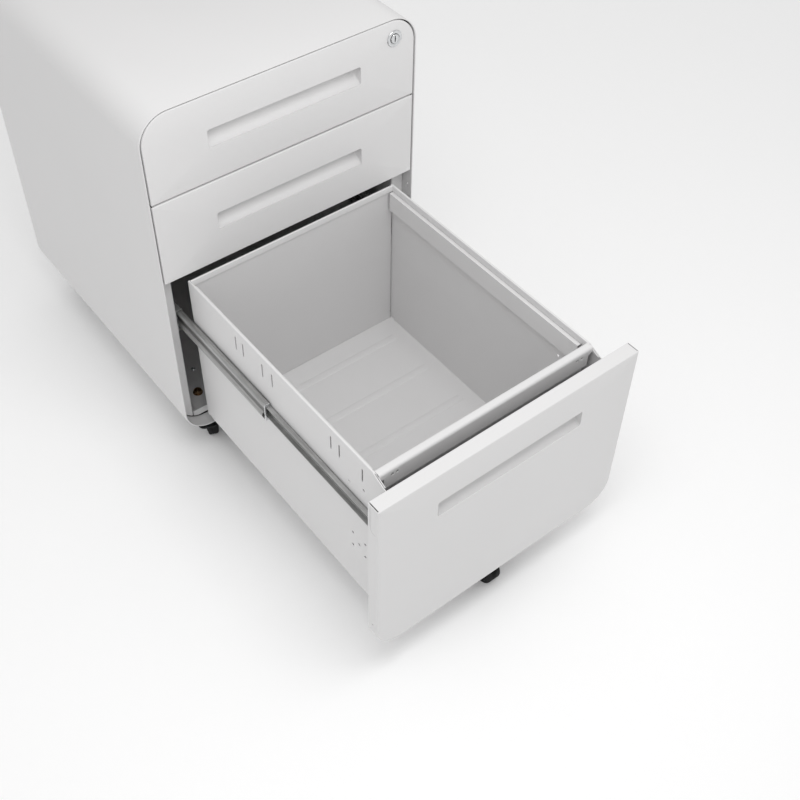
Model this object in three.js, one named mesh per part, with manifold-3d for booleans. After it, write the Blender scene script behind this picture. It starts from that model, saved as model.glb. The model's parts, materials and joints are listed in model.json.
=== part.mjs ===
// Three-drawer mobile filing cabinet in folded steel, on casters, with its file drawer open.
// Millimetres. X runs to the right, Y to the back and Z up. The floor is z = 0, the open
// file drawer's front face is at the lowest y and the casing's back edge at the highest.
// Every drawer is drawn closed, and the open one's group is then moved out by its travel.

import * as THREE from "three";
import * as BufferGeometryUtils from "three/addons/utils/BufferGeometryUtils.js";
import Module from "manifold-3d";

const wasm = await Module();
wasm.setup();

// Casing
const WIDTH = 390;
const DEPTH = 452;
const TOP = 580;
const UNDERSIDE = 58;
const TRAVEL = 428;
const CORNER_RADIUS = 40;
const CASING_SHEET = 1.5;
const SHEET = 1.2;
const GAP = 0.3;
const HALF = WIDTH / 2;
const BACK = (DEPTH + TRAVEL) / 2;
const FRONT = BACK - DEPTH;
const ARC_STEPS = 5;
const SMALL_ARC_STEPS = 2;
const SMALL_RADIUS = 12;

// Fronts and what stands behind them
const FRONT_DEPTH = 18;
const FRONT_HALF = 191.5;
const FRONT_SHEET = 1.2;
const FRONT_EDGE = 1.2;
const FRONT_CORNER = 37;
const RIM_DEPTH = 20;
const POST_HALF = 174.3;
const POST_DEPTH = 32;
const REAR_POST_LENGTH = 38;
const RAIL_HEIGHT = 15;
const RAIL_DEPTH = 60;
const TOP_RAIL_DEPTH = 40;
const BACK_PANEL_DEPTH = 14;
const FRONT_BACK = FRONT + FRONT_DEPTH;
const RIM_BACK = FRONT + RIM_DEPTH;

// Recessed pulls
const PULL_LENGTH = 218;
const PULL_HEIGHT = 25;
const PULL_DEPTH = 15;
const PULL_CORNER = 3;
const PULL_FILLET = 6;
const PULL_FLANGE = 5;

// Drawer boxes and the ball-bearing slides beside them
const BOX_HALF = 161;
const BOX_BACK = 416;
const HEM_THICK = 2.6;
const HEM_HEIGHT = 9;
const SLIDE_FRONT = 12;
const SLIDE_LENGTH = 400;
const MIDDLE_MEMBER_FRONT = 26;
const MIDDLE_MEMBER_LENGTH = 360;
const OUTER_MEMBER = { back: 174, mouth: 163.5, height: 35 };
const MIDDLE_MEMBER = { back: 170.6, mouth: 163.1, height: 27 };
const INNER_MEMBER = { back: 161.3, mouth: 168, height: 18 };

// The three drawers, bottom to top
const DRAWERS = [
  {
    name: "file", bottom: 61, top: 337, boxBottom: 79, boxTop: 331, slide: 249, pull: 275,
    wallSetback: 51, corners: [FRONT_CORNER, FRONT_CORNER, 0, 0], open: true,
  },
  {
    name: "middle", bottom: 340, top: 459.5, boxBottom: 352, boxTop: 434, slide: 382, pull: 400,
    wallSetback: FRONT_DEPTH + 0.6, corners: [0, 0, 0, 0], open: false,
  },
  {
    name: "top", bottom: 462, top: 577, boxBottom: 474, boxTop: 540, slide: 504, pull: 520,
    wallSetback: FRONT_DEPTH + 0.6, corners: [0, 0, FRONT_CORNER, FRONT_CORNER], open: false,
  },
];

// Hang slots and tooling holes in the file drawer's sides, as distances behind its front face
const SLOT_SETBACKS = [322, 306, 264.5, 244, 127, 111, 68.4];
const SLOT_LOW = 296;
const SLOT_HIGH = 318;
const SLOT_WIDTH = 2;
const SIDE_HOLES = [[93, 272.5], [66, 283], [88, 180], [88, 155], [76, 168], [64, 181], [64, 156]];
const SIDE_HOLE_RADIUS = 1.5;

// Lock at the top right, and the bar that it lifts inside the right front post
const LOCK = { x: 160, z: 553, barrel: 9, flange: 11, plug: 6, bore: 6.5 };
const BAR = { inner: 178, outer: 190, front: 20, thick: 2, low: 110, high: 520, lift: 8 };
const HOOK_HEIGHTS = [200, 424, 532];
const HOOK_TIP = 165;
const HOOK_THICK = 3;

// Casters and the fifth wheel
const WHEEL_RADIUS = 20;
const WHEEL_HALF = 9;
const WHEEL_BORE = 3.5;
const AXLE_RADIUS = 3;
const ARM_GAP = 1.3;
const ARM_THICK = 2;
const ARM_OUTER = WHEEL_HALF + ARM_GAP + ARM_THICK;
const CASTER_X = 136;
const CASTER_FRONT_Y = 40;
const CASTER_REAR_Y = 396;
const CASTER_TRAIL = 18;
const CASTER_PLATE = 34;
const CASTER_TURNS = { front_left: -20, front_right: 12, rear_left: -8, rear_right: 16 };
const PLATE_TOP = UNDERSIDE - GAP;
const PLATE_BOTTOM = PLATE_TOP - 2.4;
const RACE_BOTTOM = 50.6;
const CROWN_TOP = RACE_BOTTOM - GAP;
const CROWN_MIDDLE = 46.2;
const CROWN_BOTTOM = 44;
const PEDAL_PIVOT = { y: -30, z: 42, pin: 1.5, bore: 2 };
const FIFTH_WHEEL = { x: 9, y: 19, half: 12 };
const NOTCH_HALF = 20;
const NOTCH_BACK = 46;

const MATERIALS = {
  white: { color: 0xd9d8d7, roughness: 0.45, metalness: 0.1 },
  steel: { color: 0x9a9b9c, roughness: 0.35, metalness: 0.9 },
  galvanised: { color: 0x8b8c8c, roughness: 0.5, metalness: 0.8 },
  blackPlastic: { color: 0x151516, roughness: 0.5, metalness: 0 },
  tread: { color: 0x1d1d1e, roughness: 0.8, metalness: 0 },
  chrome: { color: 0xc8c9ca, roughness: 0.15, metalness: 1 },
};

// Solids from three.js geometry

function solid(geometry) {
  const bare = geometry.clone();
  bare.deleteAttribute("normal");
  bare.deleteAttribute("uv");
  const merged = BufferGeometryUtils.mergeVertices(bare, 1e-4);
  return new wasm.Manifold(new wasm.Mesh({
    numProp: 3,
    vertProperties: new Float32Array(merged.attributes.position.array),
    triVerts: new Uint32Array(merged.index.array),
  }));
}

function named(name, body, material) {
  const raw = body.getMesh();
  const geometry = new THREE.BufferGeometry();
  geometry.setAttribute("position", new THREE.BufferAttribute(raw.vertProperties, 3));
  geometry.setIndex(new THREE.BufferAttribute(raw.triVerts, 1));
  const mesh = new THREE.Mesh(geometry, new THREE.MeshStandardMaterial(MATERIALS[material]));
  mesh.name = name;
  return mesh;
}

function block(x0, x1, y0, y1, z0, z1) {
  const geometry = new THREE.BoxGeometry(x1 - x0, y1 - y0, z1 - z0);
  geometry.translate((x0 + x1) / 2, (y0 + y1) / 2, (z0 + z1) / 2);
  return solid(geometry);
}

function cylinder(axis, radius, from, to, a, b, steps = 16) {
  const geometry = new THREE.CylinderGeometry(radius, radius, to - from, steps);
  const middle = (from + to) / 2;
  if (axis === "x") {
    geometry.rotateZ(Math.PI / 2);
    geometry.translate(middle, a, b);
  } else if (axis === "y") {
    geometry.translate(a, middle, b);
  } else {
    geometry.rotateX(Math.PI / 2);
    geometry.translate(a, b, middle);
  }
  return solid(geometry);
}

function outline(points) {
  return new THREE.Shape(points.map(([a, b]) => new THREE.Vector2(a, b)));
}

// Small rounds get fewer steps than the casing's and the fronts' large corners
function extruded(shape, depth, bevel = 0) {
  const radii = shape.curves.map((curve) => curve.xRadius ?? 0);
  const steps = Math.max(...radii) > SMALL_RADIUS ? ARC_STEPS : SMALL_ARC_STEPS;
  return new THREE.ExtrudeGeometry(shape, {
    depth: depth - 2 * bevel,
    bevelEnabled: bevel > 0,
    bevelThickness: bevel,
    bevelSize: bevel,
    bevelOffset: -bevel,
    bevelSegments: 2,
    curveSegments: steps,
  }).translate(0, 0, bevel);
}

// A shape drawn in Y and Z, carried along X
function alongX(shape, x0, x1) {
  const geometry = extruded(shape, x1 - x0);
  const turn = new THREE.Matrix4().makeBasis(
    new THREE.Vector3(0, 1, 0),
    new THREE.Vector3(0, 0, 1),
    new THREE.Vector3(1, 0, 0),
  );
  geometry.applyMatrix4(turn);
  geometry.translate(x0, 0, 0);
  return solid(geometry);
}

// A shape drawn in X and Z, carried along Y
function alongY(shape, y0, y1, bevel = 0) {
  const geometry = extruded(shape, y1 - y0, bevel);
  geometry.rotateX(Math.PI / 2);
  geometry.translate(0, y1, 0);
  return solid(geometry);
}

// A rectangle in X and Z, its corner radii given from bottom left, counter-clockwise
function roundedRectangle(x0, x1, z0, z1, radii) {
  const shape = new THREE.Shape();
  const quarter = Math.PI / 2;
  const corners = [
    [x0, z0, 1, 1, 2], [x1, z0, -1, 1, 3], [x1, z1, -1, -1, 0], [x0, z1, 1, -1, 1],
  ];
  corners.forEach(([x, z, inX, inZ, turn], index) => {
    const radius = radii[index];
    if (radius > 0) {
      shape.absarc(x + inX * radius, z + inZ * radius, radius, turn * quarter, (turn + 1) * quarter);
    } else if (index === 0) {
      shape.moveTo(x, z);
    } else {
      shape.lineTo(x, z);
    }
  });
  shape.closePath();
  return shape;
}

function casingOutline(inset) {
  const radius = CORNER_RADIUS - inset;
  return roundedRectangle(
    -HALF + inset, HALF - inset, UNDERSIDE + inset, TOP - inset, [radius, radius, radius, radius],
  );
}

function join(parts) {
  return parts.reduce((sum, part) => sum.add(part));
}

function cut(body, tools) {
  return tools.reduce((left, tool) => left.subtract(tool), body);
}

// Casing

function casingShell() {
  const outer = alongY(casingOutline(0), FRONT, BACK);
  const inner = alongY(casingOutline(CASING_SHEET), FRONT - 1, BACK + 1);
  return cut(outer, [inner, bracketNotch(FRONT - 1)]);
}

// The way through the casing's floor and the bottom rail for the fifth wheel's bracket
function bracketNotch(y0) {
  const { x } = FIFTH_WHEEL;
  return block(x - NOTCH_HALF, x + NOTCH_HALF, y0, NOTCH_BACK, UNDERSIDE - 1, UNDERSIDE + RAIL_HEIGHT + 5);
}

function insideCasing(body) {
  return body.intersect(alongY(casingOutline(CASING_SHEET + GAP), FRONT, BACK));
}

function backPanel() {
  const inset = CASING_SHEET + GAP;
  const outer = alongY(casingOutline(inset), BACK - 1 - BACK_PANEL_DEPTH, BACK - 1);
  const pocket = alongY(casingOutline(inset + SHEET), BACK - 2 - BACK_PANEL_DEPTH, BACK - 1 - SHEET);
  return outer.subtract(pocket);
}

function frontPost(side) {
  const face = block(POST_HALF, HALF, RIM_BACK, RIM_BACK + SHEET, UNDERSIDE, TOP);
  const web = block(POST_HALF, POST_HALF + SHEET, RIM_BACK, RIM_BACK + POST_DEPTH, UNDERSIDE, TOP);
  const post = insideCasing(face.add(web));
  if (side < 0) {
    return post.mirror([1, 0, 0]);
  }
  const windows = HOOK_HEIGHTS.map((height) => block(
    POST_HALF - 1, POST_HALF + SHEET + 1,
    BAR.front - 1.5, BAR.front + BAR.thick + 1.5,
    height - 1.5, height + HOOK_THICK + BAR.lift + 1.5,
  ));
  return cut(post, windows);
}

function rearPost(side) {
  const end = BACK - 1 - BACK_PANEL_DEPTH - 1;
  const start = end - REAR_POST_LENGTH;
  const face = block(POST_HALF, HALF, end - SHEET, end, UNDERSIDE, TOP);
  const web = block(POST_HALF, POST_HALF + SHEET, start, end, UNDERSIDE, TOP);
  const post = insideCasing(face.add(web));
  return side < 0 ? post.mirror([1, 0, 0]) : post;
}

function bottomRail() {
  const low = UNDERSIDE + CASING_SHEET + GAP;
  const edge = POST_HALF - GAP;
  const face = block(-edge, edge, RIM_BACK, RIM_BACK + SHEET, low, low + RAIL_HEIGHT);
  const foot = block(-edge, edge, RIM_BACK, RIM_BACK + RAIL_DEPTH, low, low + SHEET);
  return insideCasing(face.add(foot)).subtract(bracketNotch(RIM_BACK - 1));
}

function topRail() {
  const high = TOP - CASING_SHEET - GAP;
  const edge = POST_HALF - GAP;
  const face = block(-edge, edge, RIM_BACK, RIM_BACK + SHEET, high - RAIL_HEIGHT + 2, high);
  const flange = block(-edge, edge, RIM_BACK, RIM_BACK + TOP_RAIL_DEPTH, high - SHEET, high);
  return insideCasing(face.add(flange));
}

// Ball-bearing slides: each member is a channel on its back, its mouth turned to the next one

function slideMember(member, height, y0, length, side) {
  const { back, mouth } = member;
  const half = member.height / 2;
  const wall = Math.sign(mouth - back) * SHEET;
  const channel = outline([
    [back, height - half], [mouth, height - half], [mouth, height - half + SHEET],
    [back + wall, height - half + SHEET], [back + wall, height + half - SHEET],
    [mouth, height + half - SHEET], [mouth, height + half], [back, height + half],
  ]);
  const body = alongY(channel, y0, y0 + length);
  return side < 0 ? body.mirror([1, 0, 0]) : body;
}

// Drawers

function frontPan(drawer) {
  const { bottom, top, corners, pull } = drawer;
  const face = roundedRectangle(-FRONT_HALF, FRONT_HALF, bottom, top, corners);
  const slab = alongY(face, FRONT, FRONT_BACK + 2 * FRONT_EDGE, FRONT_EDGE);
  const behind = block(-HALF, HALF, FRONT_BACK, FRONT_BACK + 10, bottom - 5, top + 5);
  const inset = FRONT_SHEET;
  const hollow = alongY(
    roundedRectangle(
      -FRONT_HALF + inset, FRONT_HALF - inset, bottom + inset, top - inset,
      corners.map((radius) => Math.max(radius - inset, 0)),
    ),
    FRONT + inset, FRONT_BACK + 1,
  );
  const window = alongY(pullOutline(pull, 0), FRONT - 1, FRONT + inset + 1);
  const pan = cut(slab, [behind, hollow, window]);
  if (drawer.name !== "top") {
    return pan;
  }
  return pan.subtract(cylinder("y", LOCK.barrel + GAP, FRONT - 1, FRONT_BACK, LOCK.x, LOCK.z, 24));
}

function pullOutline(height, margin) {
  const radius = PULL_CORNER + margin;
  return roundedRectangle(
    -PULL_LENGTH / 2 - margin, PULL_LENGTH / 2 + margin,
    height - PULL_HEIGHT / 2 - margin, height + PULL_HEIGHT / 2 + margin,
    [radius, radius, radius, radius],
  );
}

// The pull's cup: a shallow tray behind the window, its floor curving up into its back
function pullCup(drawer) {
  const { pull } = drawer;
  const near = FRONT + FRONT_SHEET + GAP;
  const deep = FRONT + PULL_DEPTH;
  const flange = alongY(pullOutline(pull, PULL_FLANGE), near, near + SHEET);
  const cup = alongY(pullOutline(pull, 1 + SHEET), near, deep + SHEET);
  const low = pull - PULL_HEIGHT / 2 - 1;
  const high = pull + PULL_HEIGHT / 2 + 1;
  const section = new THREE.Shape();
  section.moveTo(near - 1, low);
  section.lineTo(deep - PULL_FILLET, low);
  section.absarc(deep - PULL_FILLET, low + PULL_FILLET, PULL_FILLET, -Math.PI / 2, 0);
  section.absarc(deep - PULL_FILLET, high - PULL_FILLET, PULL_FILLET, 0, Math.PI / 2);
  section.lineTo(near - 1, high);
  section.closePath();
  const hollow = alongX(section, -PULL_LENGTH / 2 - 1, PULL_LENGTH / 2 + 1)
    .intersect(alongY(pullOutline(pull, 1), near - 1, deep + 1));
  return flange.add(cup).subtract(hollow);
}

// Both sides and the bottom, folded from one sheet, with a hem along each top edge
function tray(drawer) {
  const { boxBottom, boxTop } = drawer;
  const wall = BOX_HALF - SHEET;
  const hem = BOX_HALF - HEM_THICK;
  const hemFoot = boxTop - HEM_HEIGHT;
  const right = [
    [BOX_HALF, boxBottom], [BOX_HALF, boxTop], [hem, boxTop], [hem, hemFoot],
    [wall, hemFoot], [wall, boxBottom + SHEET],
  ];
  const left = right.map(([x, z]) => [-x, z]).reverse();
  const body = alongY(outline([...right, ...left]), FRONT_BACK + GAP, BOX_BACK);
  if (drawer.name !== "file") {
    return body;
  }
  const wallY = FRONT + drawer.wallSetback;
  const step = outline([
    [FRONT_BACK - 1, boxTop - 9], [FRONT + 30, boxTop - 9], [wallY, boxTop],
    [wallY, boxTop + 5], [FRONT_BACK - 1, boxTop + 5],
  ]);
  const tools = [alongX(step, -HALF, HALF)];
  for (const side of [-1, 1]) {
    const [x0, x1] = side < 0 ? [-BOX_HALF - 1, -hem + 1] : [hem - 1, BOX_HALF + 1];
    for (const setback of SLOT_SETBACKS) {
      const y = FRONT + setback;
      tools.push(block(x0, x1, y - SLOT_WIDTH / 2, y + SLOT_WIDTH / 2, SLOT_LOW, SLOT_HIGH));
    }
    for (const [setback, height] of SIDE_HOLES) {
      tools.push(cylinder("x", SIDE_HOLE_RADIUS, x0, x1, FRONT + setback, height, 8));
    }
  }
  return cut(body, tools);
}

function boxEnd() {
  return BOX_HALF - HEM_THICK - GAP;
}

function backWall(drawer) {
  const floor = drawer.boxBottom + SHEET + GAP;
  const { boxTop } = drawer;
  const outside = BOX_BACK - GAP;
  const section = outline([
    [outside - SHEET, floor], [outside, floor], [outside, boxTop], [outside - HEM_THICK, boxTop],
    [outside - HEM_THICK, boxTop - HEM_HEIGHT], [outside - SHEET, boxTop - HEM_HEIGHT],
  ]);
  return alongX(section, -boxEnd(), boxEnd());
}

// The box's own front wall; the file drawer's stands well back and carries a folded hanging rim
function innerFrontWall(drawer) {
  const floor = drawer.boxBottom + SHEET + GAP;
  const { boxTop } = drawer;
  const y = FRONT + drawer.wallSetback;
  if (drawer.name !== "file") {
    const plain = outline([
      [y, floor], [y + SHEET, floor], [y + SHEET, boxTop - HEM_HEIGHT],
      [y + HEM_THICK, boxTop - HEM_HEIGHT], [y + HEM_THICK, boxTop], [y, boxTop],
    ]);
    return alongX(plain, -boxEnd(), boxEnd());
  }
  const rim = 10;
  const lip = 8;
  const foot = 20;
  const section = outline([
    [y - foot, floor], [y + SHEET, floor], [y + SHEET, boxTop], [y - rim, boxTop],
    [y - rim, boxTop - lip], [y - rim + SHEET, boxTop - lip], [y - rim + SHEET, boxTop - SHEET],
    [y, boxTop - SHEET], [y, floor + SHEET], [y - foot, floor + SHEET],
  ]);
  const holes = [-147, -140, 140, 147].map(
    (x) => cylinder("y", SIDE_HOLE_RADIUS, y - rim - 1, y - rim + SHEET + 1, x, boxTop - lip / 2, 8),
  );
  return cut(alongX(section, -boxEnd(), boxEnd()), holes);
}

// Lock

function turned(points, steps) {
  const profile = points.map(([radius, along]) => new THREE.Vector2(radius, along));
  return new THREE.LatheGeometry([...profile, profile[0]], steps);
}

function lockBarrel() {
  const face = FRONT - 1.5;
  const end = FRONT + 22;
  const geometry = turned([
    [LOCK.bore, face], [LOCK.bore, end], [LOCK.barrel, end], [LOCK.barrel, FRONT - GAP],
    [LOCK.flange, FRONT - GAP], [LOCK.flange, face + 0.5], [LOCK.flange - 0.5, face],
  ].reverse(), 24);
  geometry.translate(LOCK.x, 0, LOCK.z);
  return solid(geometry);
}

function lockPlug() {
  const end = FRONT + 22 + GAP;
  const cam = block(LOCK.x - 18, LOCK.x + 5, end, end + 2, LOCK.z - 5, LOCK.z + 5);
  const core = cylinder("y", LOCK.plug, FRONT - 2, end + 2, LOCK.x, LOCK.z, 24);
  const keyway = block(LOCK.x - 0.7, LOCK.x + 0.7, FRONT - 3, FRONT + 8, LOCK.z - 4, LOCK.z + 4);
  return core.add(cam).subtract(keyway);
}

function lockBar() {
  const y1 = BAR.front + BAR.thick;
  const strip = block(BAR.inner, BAR.outer, BAR.front, y1, BAR.low, BAR.high + 25);
  const hooks = HOOK_HEIGHTS.map(
    (height) => block(HOOK_TIP, BAR.inner + 1, BAR.front, y1, height, height + HOOK_THICK),
  );
  return join([strip, ...hooks]);
}

// Wheels and casters, drawn about the caster's own swivel line

function wheel(x, y, half) {
  const geometry = turned([
    [WHEEL_BORE, -half], [WHEEL_RADIUS - 7, -half], [WHEEL_RADIUS - 6, -half + 1.5],
    [WHEEL_RADIUS - 2, -half + 1.5], [WHEEL_RADIUS, -half + 3.5], [WHEEL_RADIUS, half - 3.5],
    [WHEEL_RADIUS - 2, half - 1.5], [WHEEL_RADIUS - 6, half - 1.5], [WHEEL_RADIUS - 7, half],
    [WHEEL_BORE, half],
  ], 24);
  geometry.rotateZ(Math.PI / 2);
  geometry.translate(x, y, WHEEL_RADIUS);
  return solid(geometry);
}

// A pair of arms either side of a wheel, as far apart as the wheel's half width asks
function arms(section, wheelHalf) {
  const right = alongX(outline(section), wheelHalf + ARM_GAP, wheelHalf + ARM_GAP + ARM_THICK);
  return right.add(right.mirror([1, 0, 0]));
}

function casterPlate() {
  const edge = CASTER_PLATE / 2;
  const plate = block(-edge, edge, -edge, edge, PLATE_BOTTOM, PLATE_TOP);
  return plate.add(cylinder("z", 15, RACE_BOTTOM, PLATE_BOTTOM + 1, 0, 0, 24));
}

function casterFork(braked) {
  const y = -CASTER_TRAIL;
  const crown = cylinder("z", 14, CROWN_BOTTOM + 1, CROWN_TOP, 0, 0, 24);
  const bridge = block(-ARM_OUTER, ARM_OUTER, -25, 12, CROWN_BOTTOM, CROWN_MIDDLE);
  const sides = arms([
    [10, CROWN_MIDDLE], [-33, CROWN_MIDDLE], [-33, 40], [y - 9, WHEEL_RADIUS], [y - 4, 13],
    [y + 4, 13], [y + 9, WHEEL_RADIUS],
  ], WHEEL_HALF);
  const axle = cylinder("x", AXLE_RADIUS, -ARM_OUTER, ARM_OUTER, y, WHEEL_RADIUS);
  const parts = [crown, bridge, sides, axle];
  if (braked) {
    parts.push(cylinder("x", PEDAL_PIVOT.pin, -ARM_OUTER, ARM_OUTER, PEDAL_PIVOT.y, PEDAL_PIVOT.z, 12));
  }
  return join(parts);
}

function brakePedal() {
  const half = WHEEL_HALF;
  const lever = alongX(outline([
    [-26.6, 39.6], [-33, 38.6], [-44.5, 38.6], [-45.5, 40], [-45.5, 42], [-37, 45.2], [-26.6, 44.4],
  ]), -half, half);
  const bore = cylinder("x", PEDAL_PIVOT.bore, -ARM_OUTER, ARM_OUTER, PEDAL_PIVOT.y, PEDAL_PIVOT.z, 12);
  return lever.subtract(bore);
}

function fifthWheelBracket() {
  const { x, y, half } = FIFTH_WHEEL;
  const top = DRAWERS[0].boxBottom - GAP;
  const outside = half + ARM_GAP + ARM_THICK;
  const base = block(-outside - 3, outside + 3, FRONT_BACK + 2, NOTCH_BACK - 2, top - 2, top);
  const sides = arms([
    [FRONT_BACK + 2, top - 1], [NOTCH_BACK - 10, top - 1], [y + 16, 45], [y + 8, WHEEL_RADIUS],
    [y + 4, 13], [y - 4, 13], [y - 8, WHEEL_RADIUS], [FRONT_BACK + 1, 50],
  ], half);
  const axle = cylinder("x", AXLE_RADIUS, -outside, outside, y, WHEEL_RADIUS);
  return join([base, sides, axle]).translate([x, 0, 0]);
}

// Assembly

const cabinet = new THREE.Group();
cabinet.add(
  named("casing_shell", casingShell(), "white"),
  named("back_panel", backPanel(), "white"),
  named("bottom_rail", bottomRail(), "white"),
  named("top_rail", topRail(), "white"),
  named("lock_bar", lockBar(), "galvanised"),
);

const SIDES = [["left", -1], ["right", 1]];
for (const [label, side] of SIDES) {
  cabinet.add(
    named(`front_post_${label}`, frontPost(side), "white"),
    named(`rear_post_${label}`, rearPost(side), "galvanised"),
  );
}

for (const drawer of DRAWERS) {
  const box = new THREE.Group();
  const middleMembers = new THREE.Group();
  if (drawer.open) {
    box.position.y = -TRAVEL;
    middleMembers.position.y = -TRAVEL / 2;
  }
  box.add(
    named(`${drawer.name}_front`, frontPan(drawer), "white"),
    named(`${drawer.name}_pull`, pullCup(drawer), "white"),
    named(`${drawer.name}_tray`, tray(drawer), "white"),
    named(`${drawer.name}_back_wall`, backWall(drawer), "white"),
    named(`${drawer.name}_inner_wall`, innerFrontWall(drawer), "white"),
  );
  for (const [label, side] of SIDES) {
    const { name, slide } = drawer;
    const outer = slideMember(OUTER_MEMBER, slide, SLIDE_FRONT, SLIDE_LENGTH, side);
    const middle = slideMember(MIDDLE_MEMBER, slide, MIDDLE_MEMBER_FRONT, MIDDLE_MEMBER_LENGTH, side);
    const inner = slideMember(INNER_MEMBER, slide, SLIDE_FRONT, SLIDE_LENGTH, side);
    cabinet.add(named(`${name}_outer_slide_${label}`, outer, "steel"));
    middleMembers.add(named(`${name}_middle_slide_${label}`, middle, "steel"));
    box.add(named(`${name}_inner_slide_${label}`, inner, "steel"));
  }
  if (drawer.name === "top") {
    box.add(
      named("lock_barrel", lockBarrel(), "chrome"),
      named("lock_plug", lockPlug(), "chrome"),
    );
  }
  if (drawer.name === "file") {
    box.add(
      named("fifth_wheel_bracket", fifthWheelBracket(), "blackPlastic"),
      named("fifth_wheel", wheel(FIFTH_WHEEL.x, FIFTH_WHEEL.y, FIFTH_WHEEL.half), "tread"),
    );
  }
  cabinet.add(box, middleMembers);
}

for (const [label, side] of SIDES) {
  for (const [end, y, braked] of [["front", CASTER_FRONT_Y, true], ["rear", CASTER_REAR_Y, false]]) {
    const place = `${end}_${label}`;
    const caster = new THREE.Group();
    const swivel = new THREE.Group();
    swivel.rotation.z = THREE.MathUtils.degToRad(CASTER_TURNS[place]);
    swivel.add(
      named(`caster_fork_${place}`, casterFork(braked), "blackPlastic"),
      named(`caster_wheel_${place}`, wheel(0, -CASTER_TRAIL, WHEEL_HALF), "tread"),
    );
    if (braked) {
      swivel.add(named(`brake_pedal_${label}`, brakePedal(), "blackPlastic"));
    }
    caster.position.set(side * CASTER_X, y, 0);
    caster.add(named(`caster_plate_${place}`, casterPlate(), "blackPlastic"), swivel);
    cabinet.add(caster);
  }
}

export default cabinet;
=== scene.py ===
"""Three-drawer mobile filing cabinet in folded steel: surfaces, fittings and finishes for its frame."""

import json
import math
import random

import bmesh
import bpy
from bpy.props import FloatProperty, FloatVectorProperty, IntProperty, PointerProperty
from mathutils import Matrix, Vector


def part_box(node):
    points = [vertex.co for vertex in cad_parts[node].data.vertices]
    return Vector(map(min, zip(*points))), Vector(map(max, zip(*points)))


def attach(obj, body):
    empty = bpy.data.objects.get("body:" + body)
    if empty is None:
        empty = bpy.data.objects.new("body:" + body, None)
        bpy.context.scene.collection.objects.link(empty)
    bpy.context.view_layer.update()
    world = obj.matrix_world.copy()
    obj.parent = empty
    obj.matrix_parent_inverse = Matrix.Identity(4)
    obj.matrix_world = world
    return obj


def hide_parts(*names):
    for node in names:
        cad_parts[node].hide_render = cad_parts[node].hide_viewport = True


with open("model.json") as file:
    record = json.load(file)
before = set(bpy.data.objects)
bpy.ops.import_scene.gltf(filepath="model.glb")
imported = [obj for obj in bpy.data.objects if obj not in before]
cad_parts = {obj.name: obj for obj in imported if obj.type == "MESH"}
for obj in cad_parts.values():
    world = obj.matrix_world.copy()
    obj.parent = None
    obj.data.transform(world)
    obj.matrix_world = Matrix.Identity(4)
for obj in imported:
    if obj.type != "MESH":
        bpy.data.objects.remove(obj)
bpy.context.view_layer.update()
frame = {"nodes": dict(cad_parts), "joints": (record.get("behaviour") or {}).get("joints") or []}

bl_info = {
    "name": "Mobile filing cabinet",
    "version": (1, 0, 0),
    "blender": (4, 5, 0),
    "location": "View3D > Sidebar > Cabinet",
    "description": "Builds a three-drawer steel filing cabinet on casters",
    "category": "Add Mesh",
}

MM = 0.001
SIDES = (("left", -1), ("right", 1))
DRAWERS = ("file", "middle", "top")
CORNERS = ("front_left", "front_right", "rear_left", "rear_right")
QUARTER = math.pi / 2
FINE = 14          # steps in a quarter turn of a large corner
COARSE = 5         # steps in a quarter turn of a small corner
GAP = 0.3 * MM     # clearance that fixed pieces keep
SHARP = math.radians(35)    # edges that turn by more than this stay sharp, or are bevelled

UP = (0, 0, 1)
ORIGIN = (0, 0, 0)

WIDE_LOW, WIDE_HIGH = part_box("casing_shell")
JOINTS = {joint["name"]: joint for joint in frame["joints"]}


# Outlines: lists of points in a plane, rounded where metal is bent

def arc(centre, radius, start, end, steps):
    """Points on an arc about centre, from one angle to another."""
    turns = [start + (end - start) * i / steps for i in range(steps + 1)]
    return [(centre[0] + radius * math.cos(t), centre[1] + radius * math.sin(t)) for t in turns]


def rounded_rectangle(low, high, radii, steps=FINE):
    """A loop whose corner radii run from bottom left, counter-clockwise.

    A square corner has as many points as a round one, so that loops can be joined in a loft.
    """
    corners = (
        (low[0], low[1], 1, 1, 2), (high[0], low[1], -1, 1, 3),
        (high[0], high[1], -1, -1, 0), (low[0], high[1], 1, -1, 1),
    )
    loop = []
    for (x, z, in_x, in_z, turn), radius in zip(corners, radii):
        radius = max(radius, 0.05 * MM)
        centre = (x + in_x * radius, z + in_z * radius)
        loop += arc(centre, radius, turn * QUARTER, (turn + 1) * QUARTER, steps)
    return loop


def inset_rectangle(low, high, radii, inset):
    """The same rounded rectangle, drawn inwards by inset."""
    return rounded_rectangle(
        (low[0] + inset, low[1] + inset), (high[0] - inset, high[1] - inset),
        [max(radius - inset, 0) for radius in radii],
    )


def filleted(path, radii):
    """An open path with its inner corners rounded, one radius for each of them."""
    points = [Vector(p) for p in path]
    line = [points[0]]
    for before, corner, after, radius in zip(points, points[1:], points[2:], radii):
        if radius <= 0:
            line.append(corner)
            continue
        back, on = (before - corner).normalized(), (after - corner).normalized()
        half = back.angle(on) / 2
        reach = radius / math.tan(half)
        centre = corner + (back + on).normalized() * (radius / math.sin(half))
        first, last = corner + back * reach - centre, corner + on * reach - centre
        sweep = first.angle_signed(last)
        for i in range(COARSE + 1):
            spoke = first.copy()
            spoke.rotate(Matrix.Rotation(-sweep * i / COARSE, 2))
            line.append(centre + spoke)
    line.append(points[-1])
    return [tuple(p) for p in line]


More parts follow.
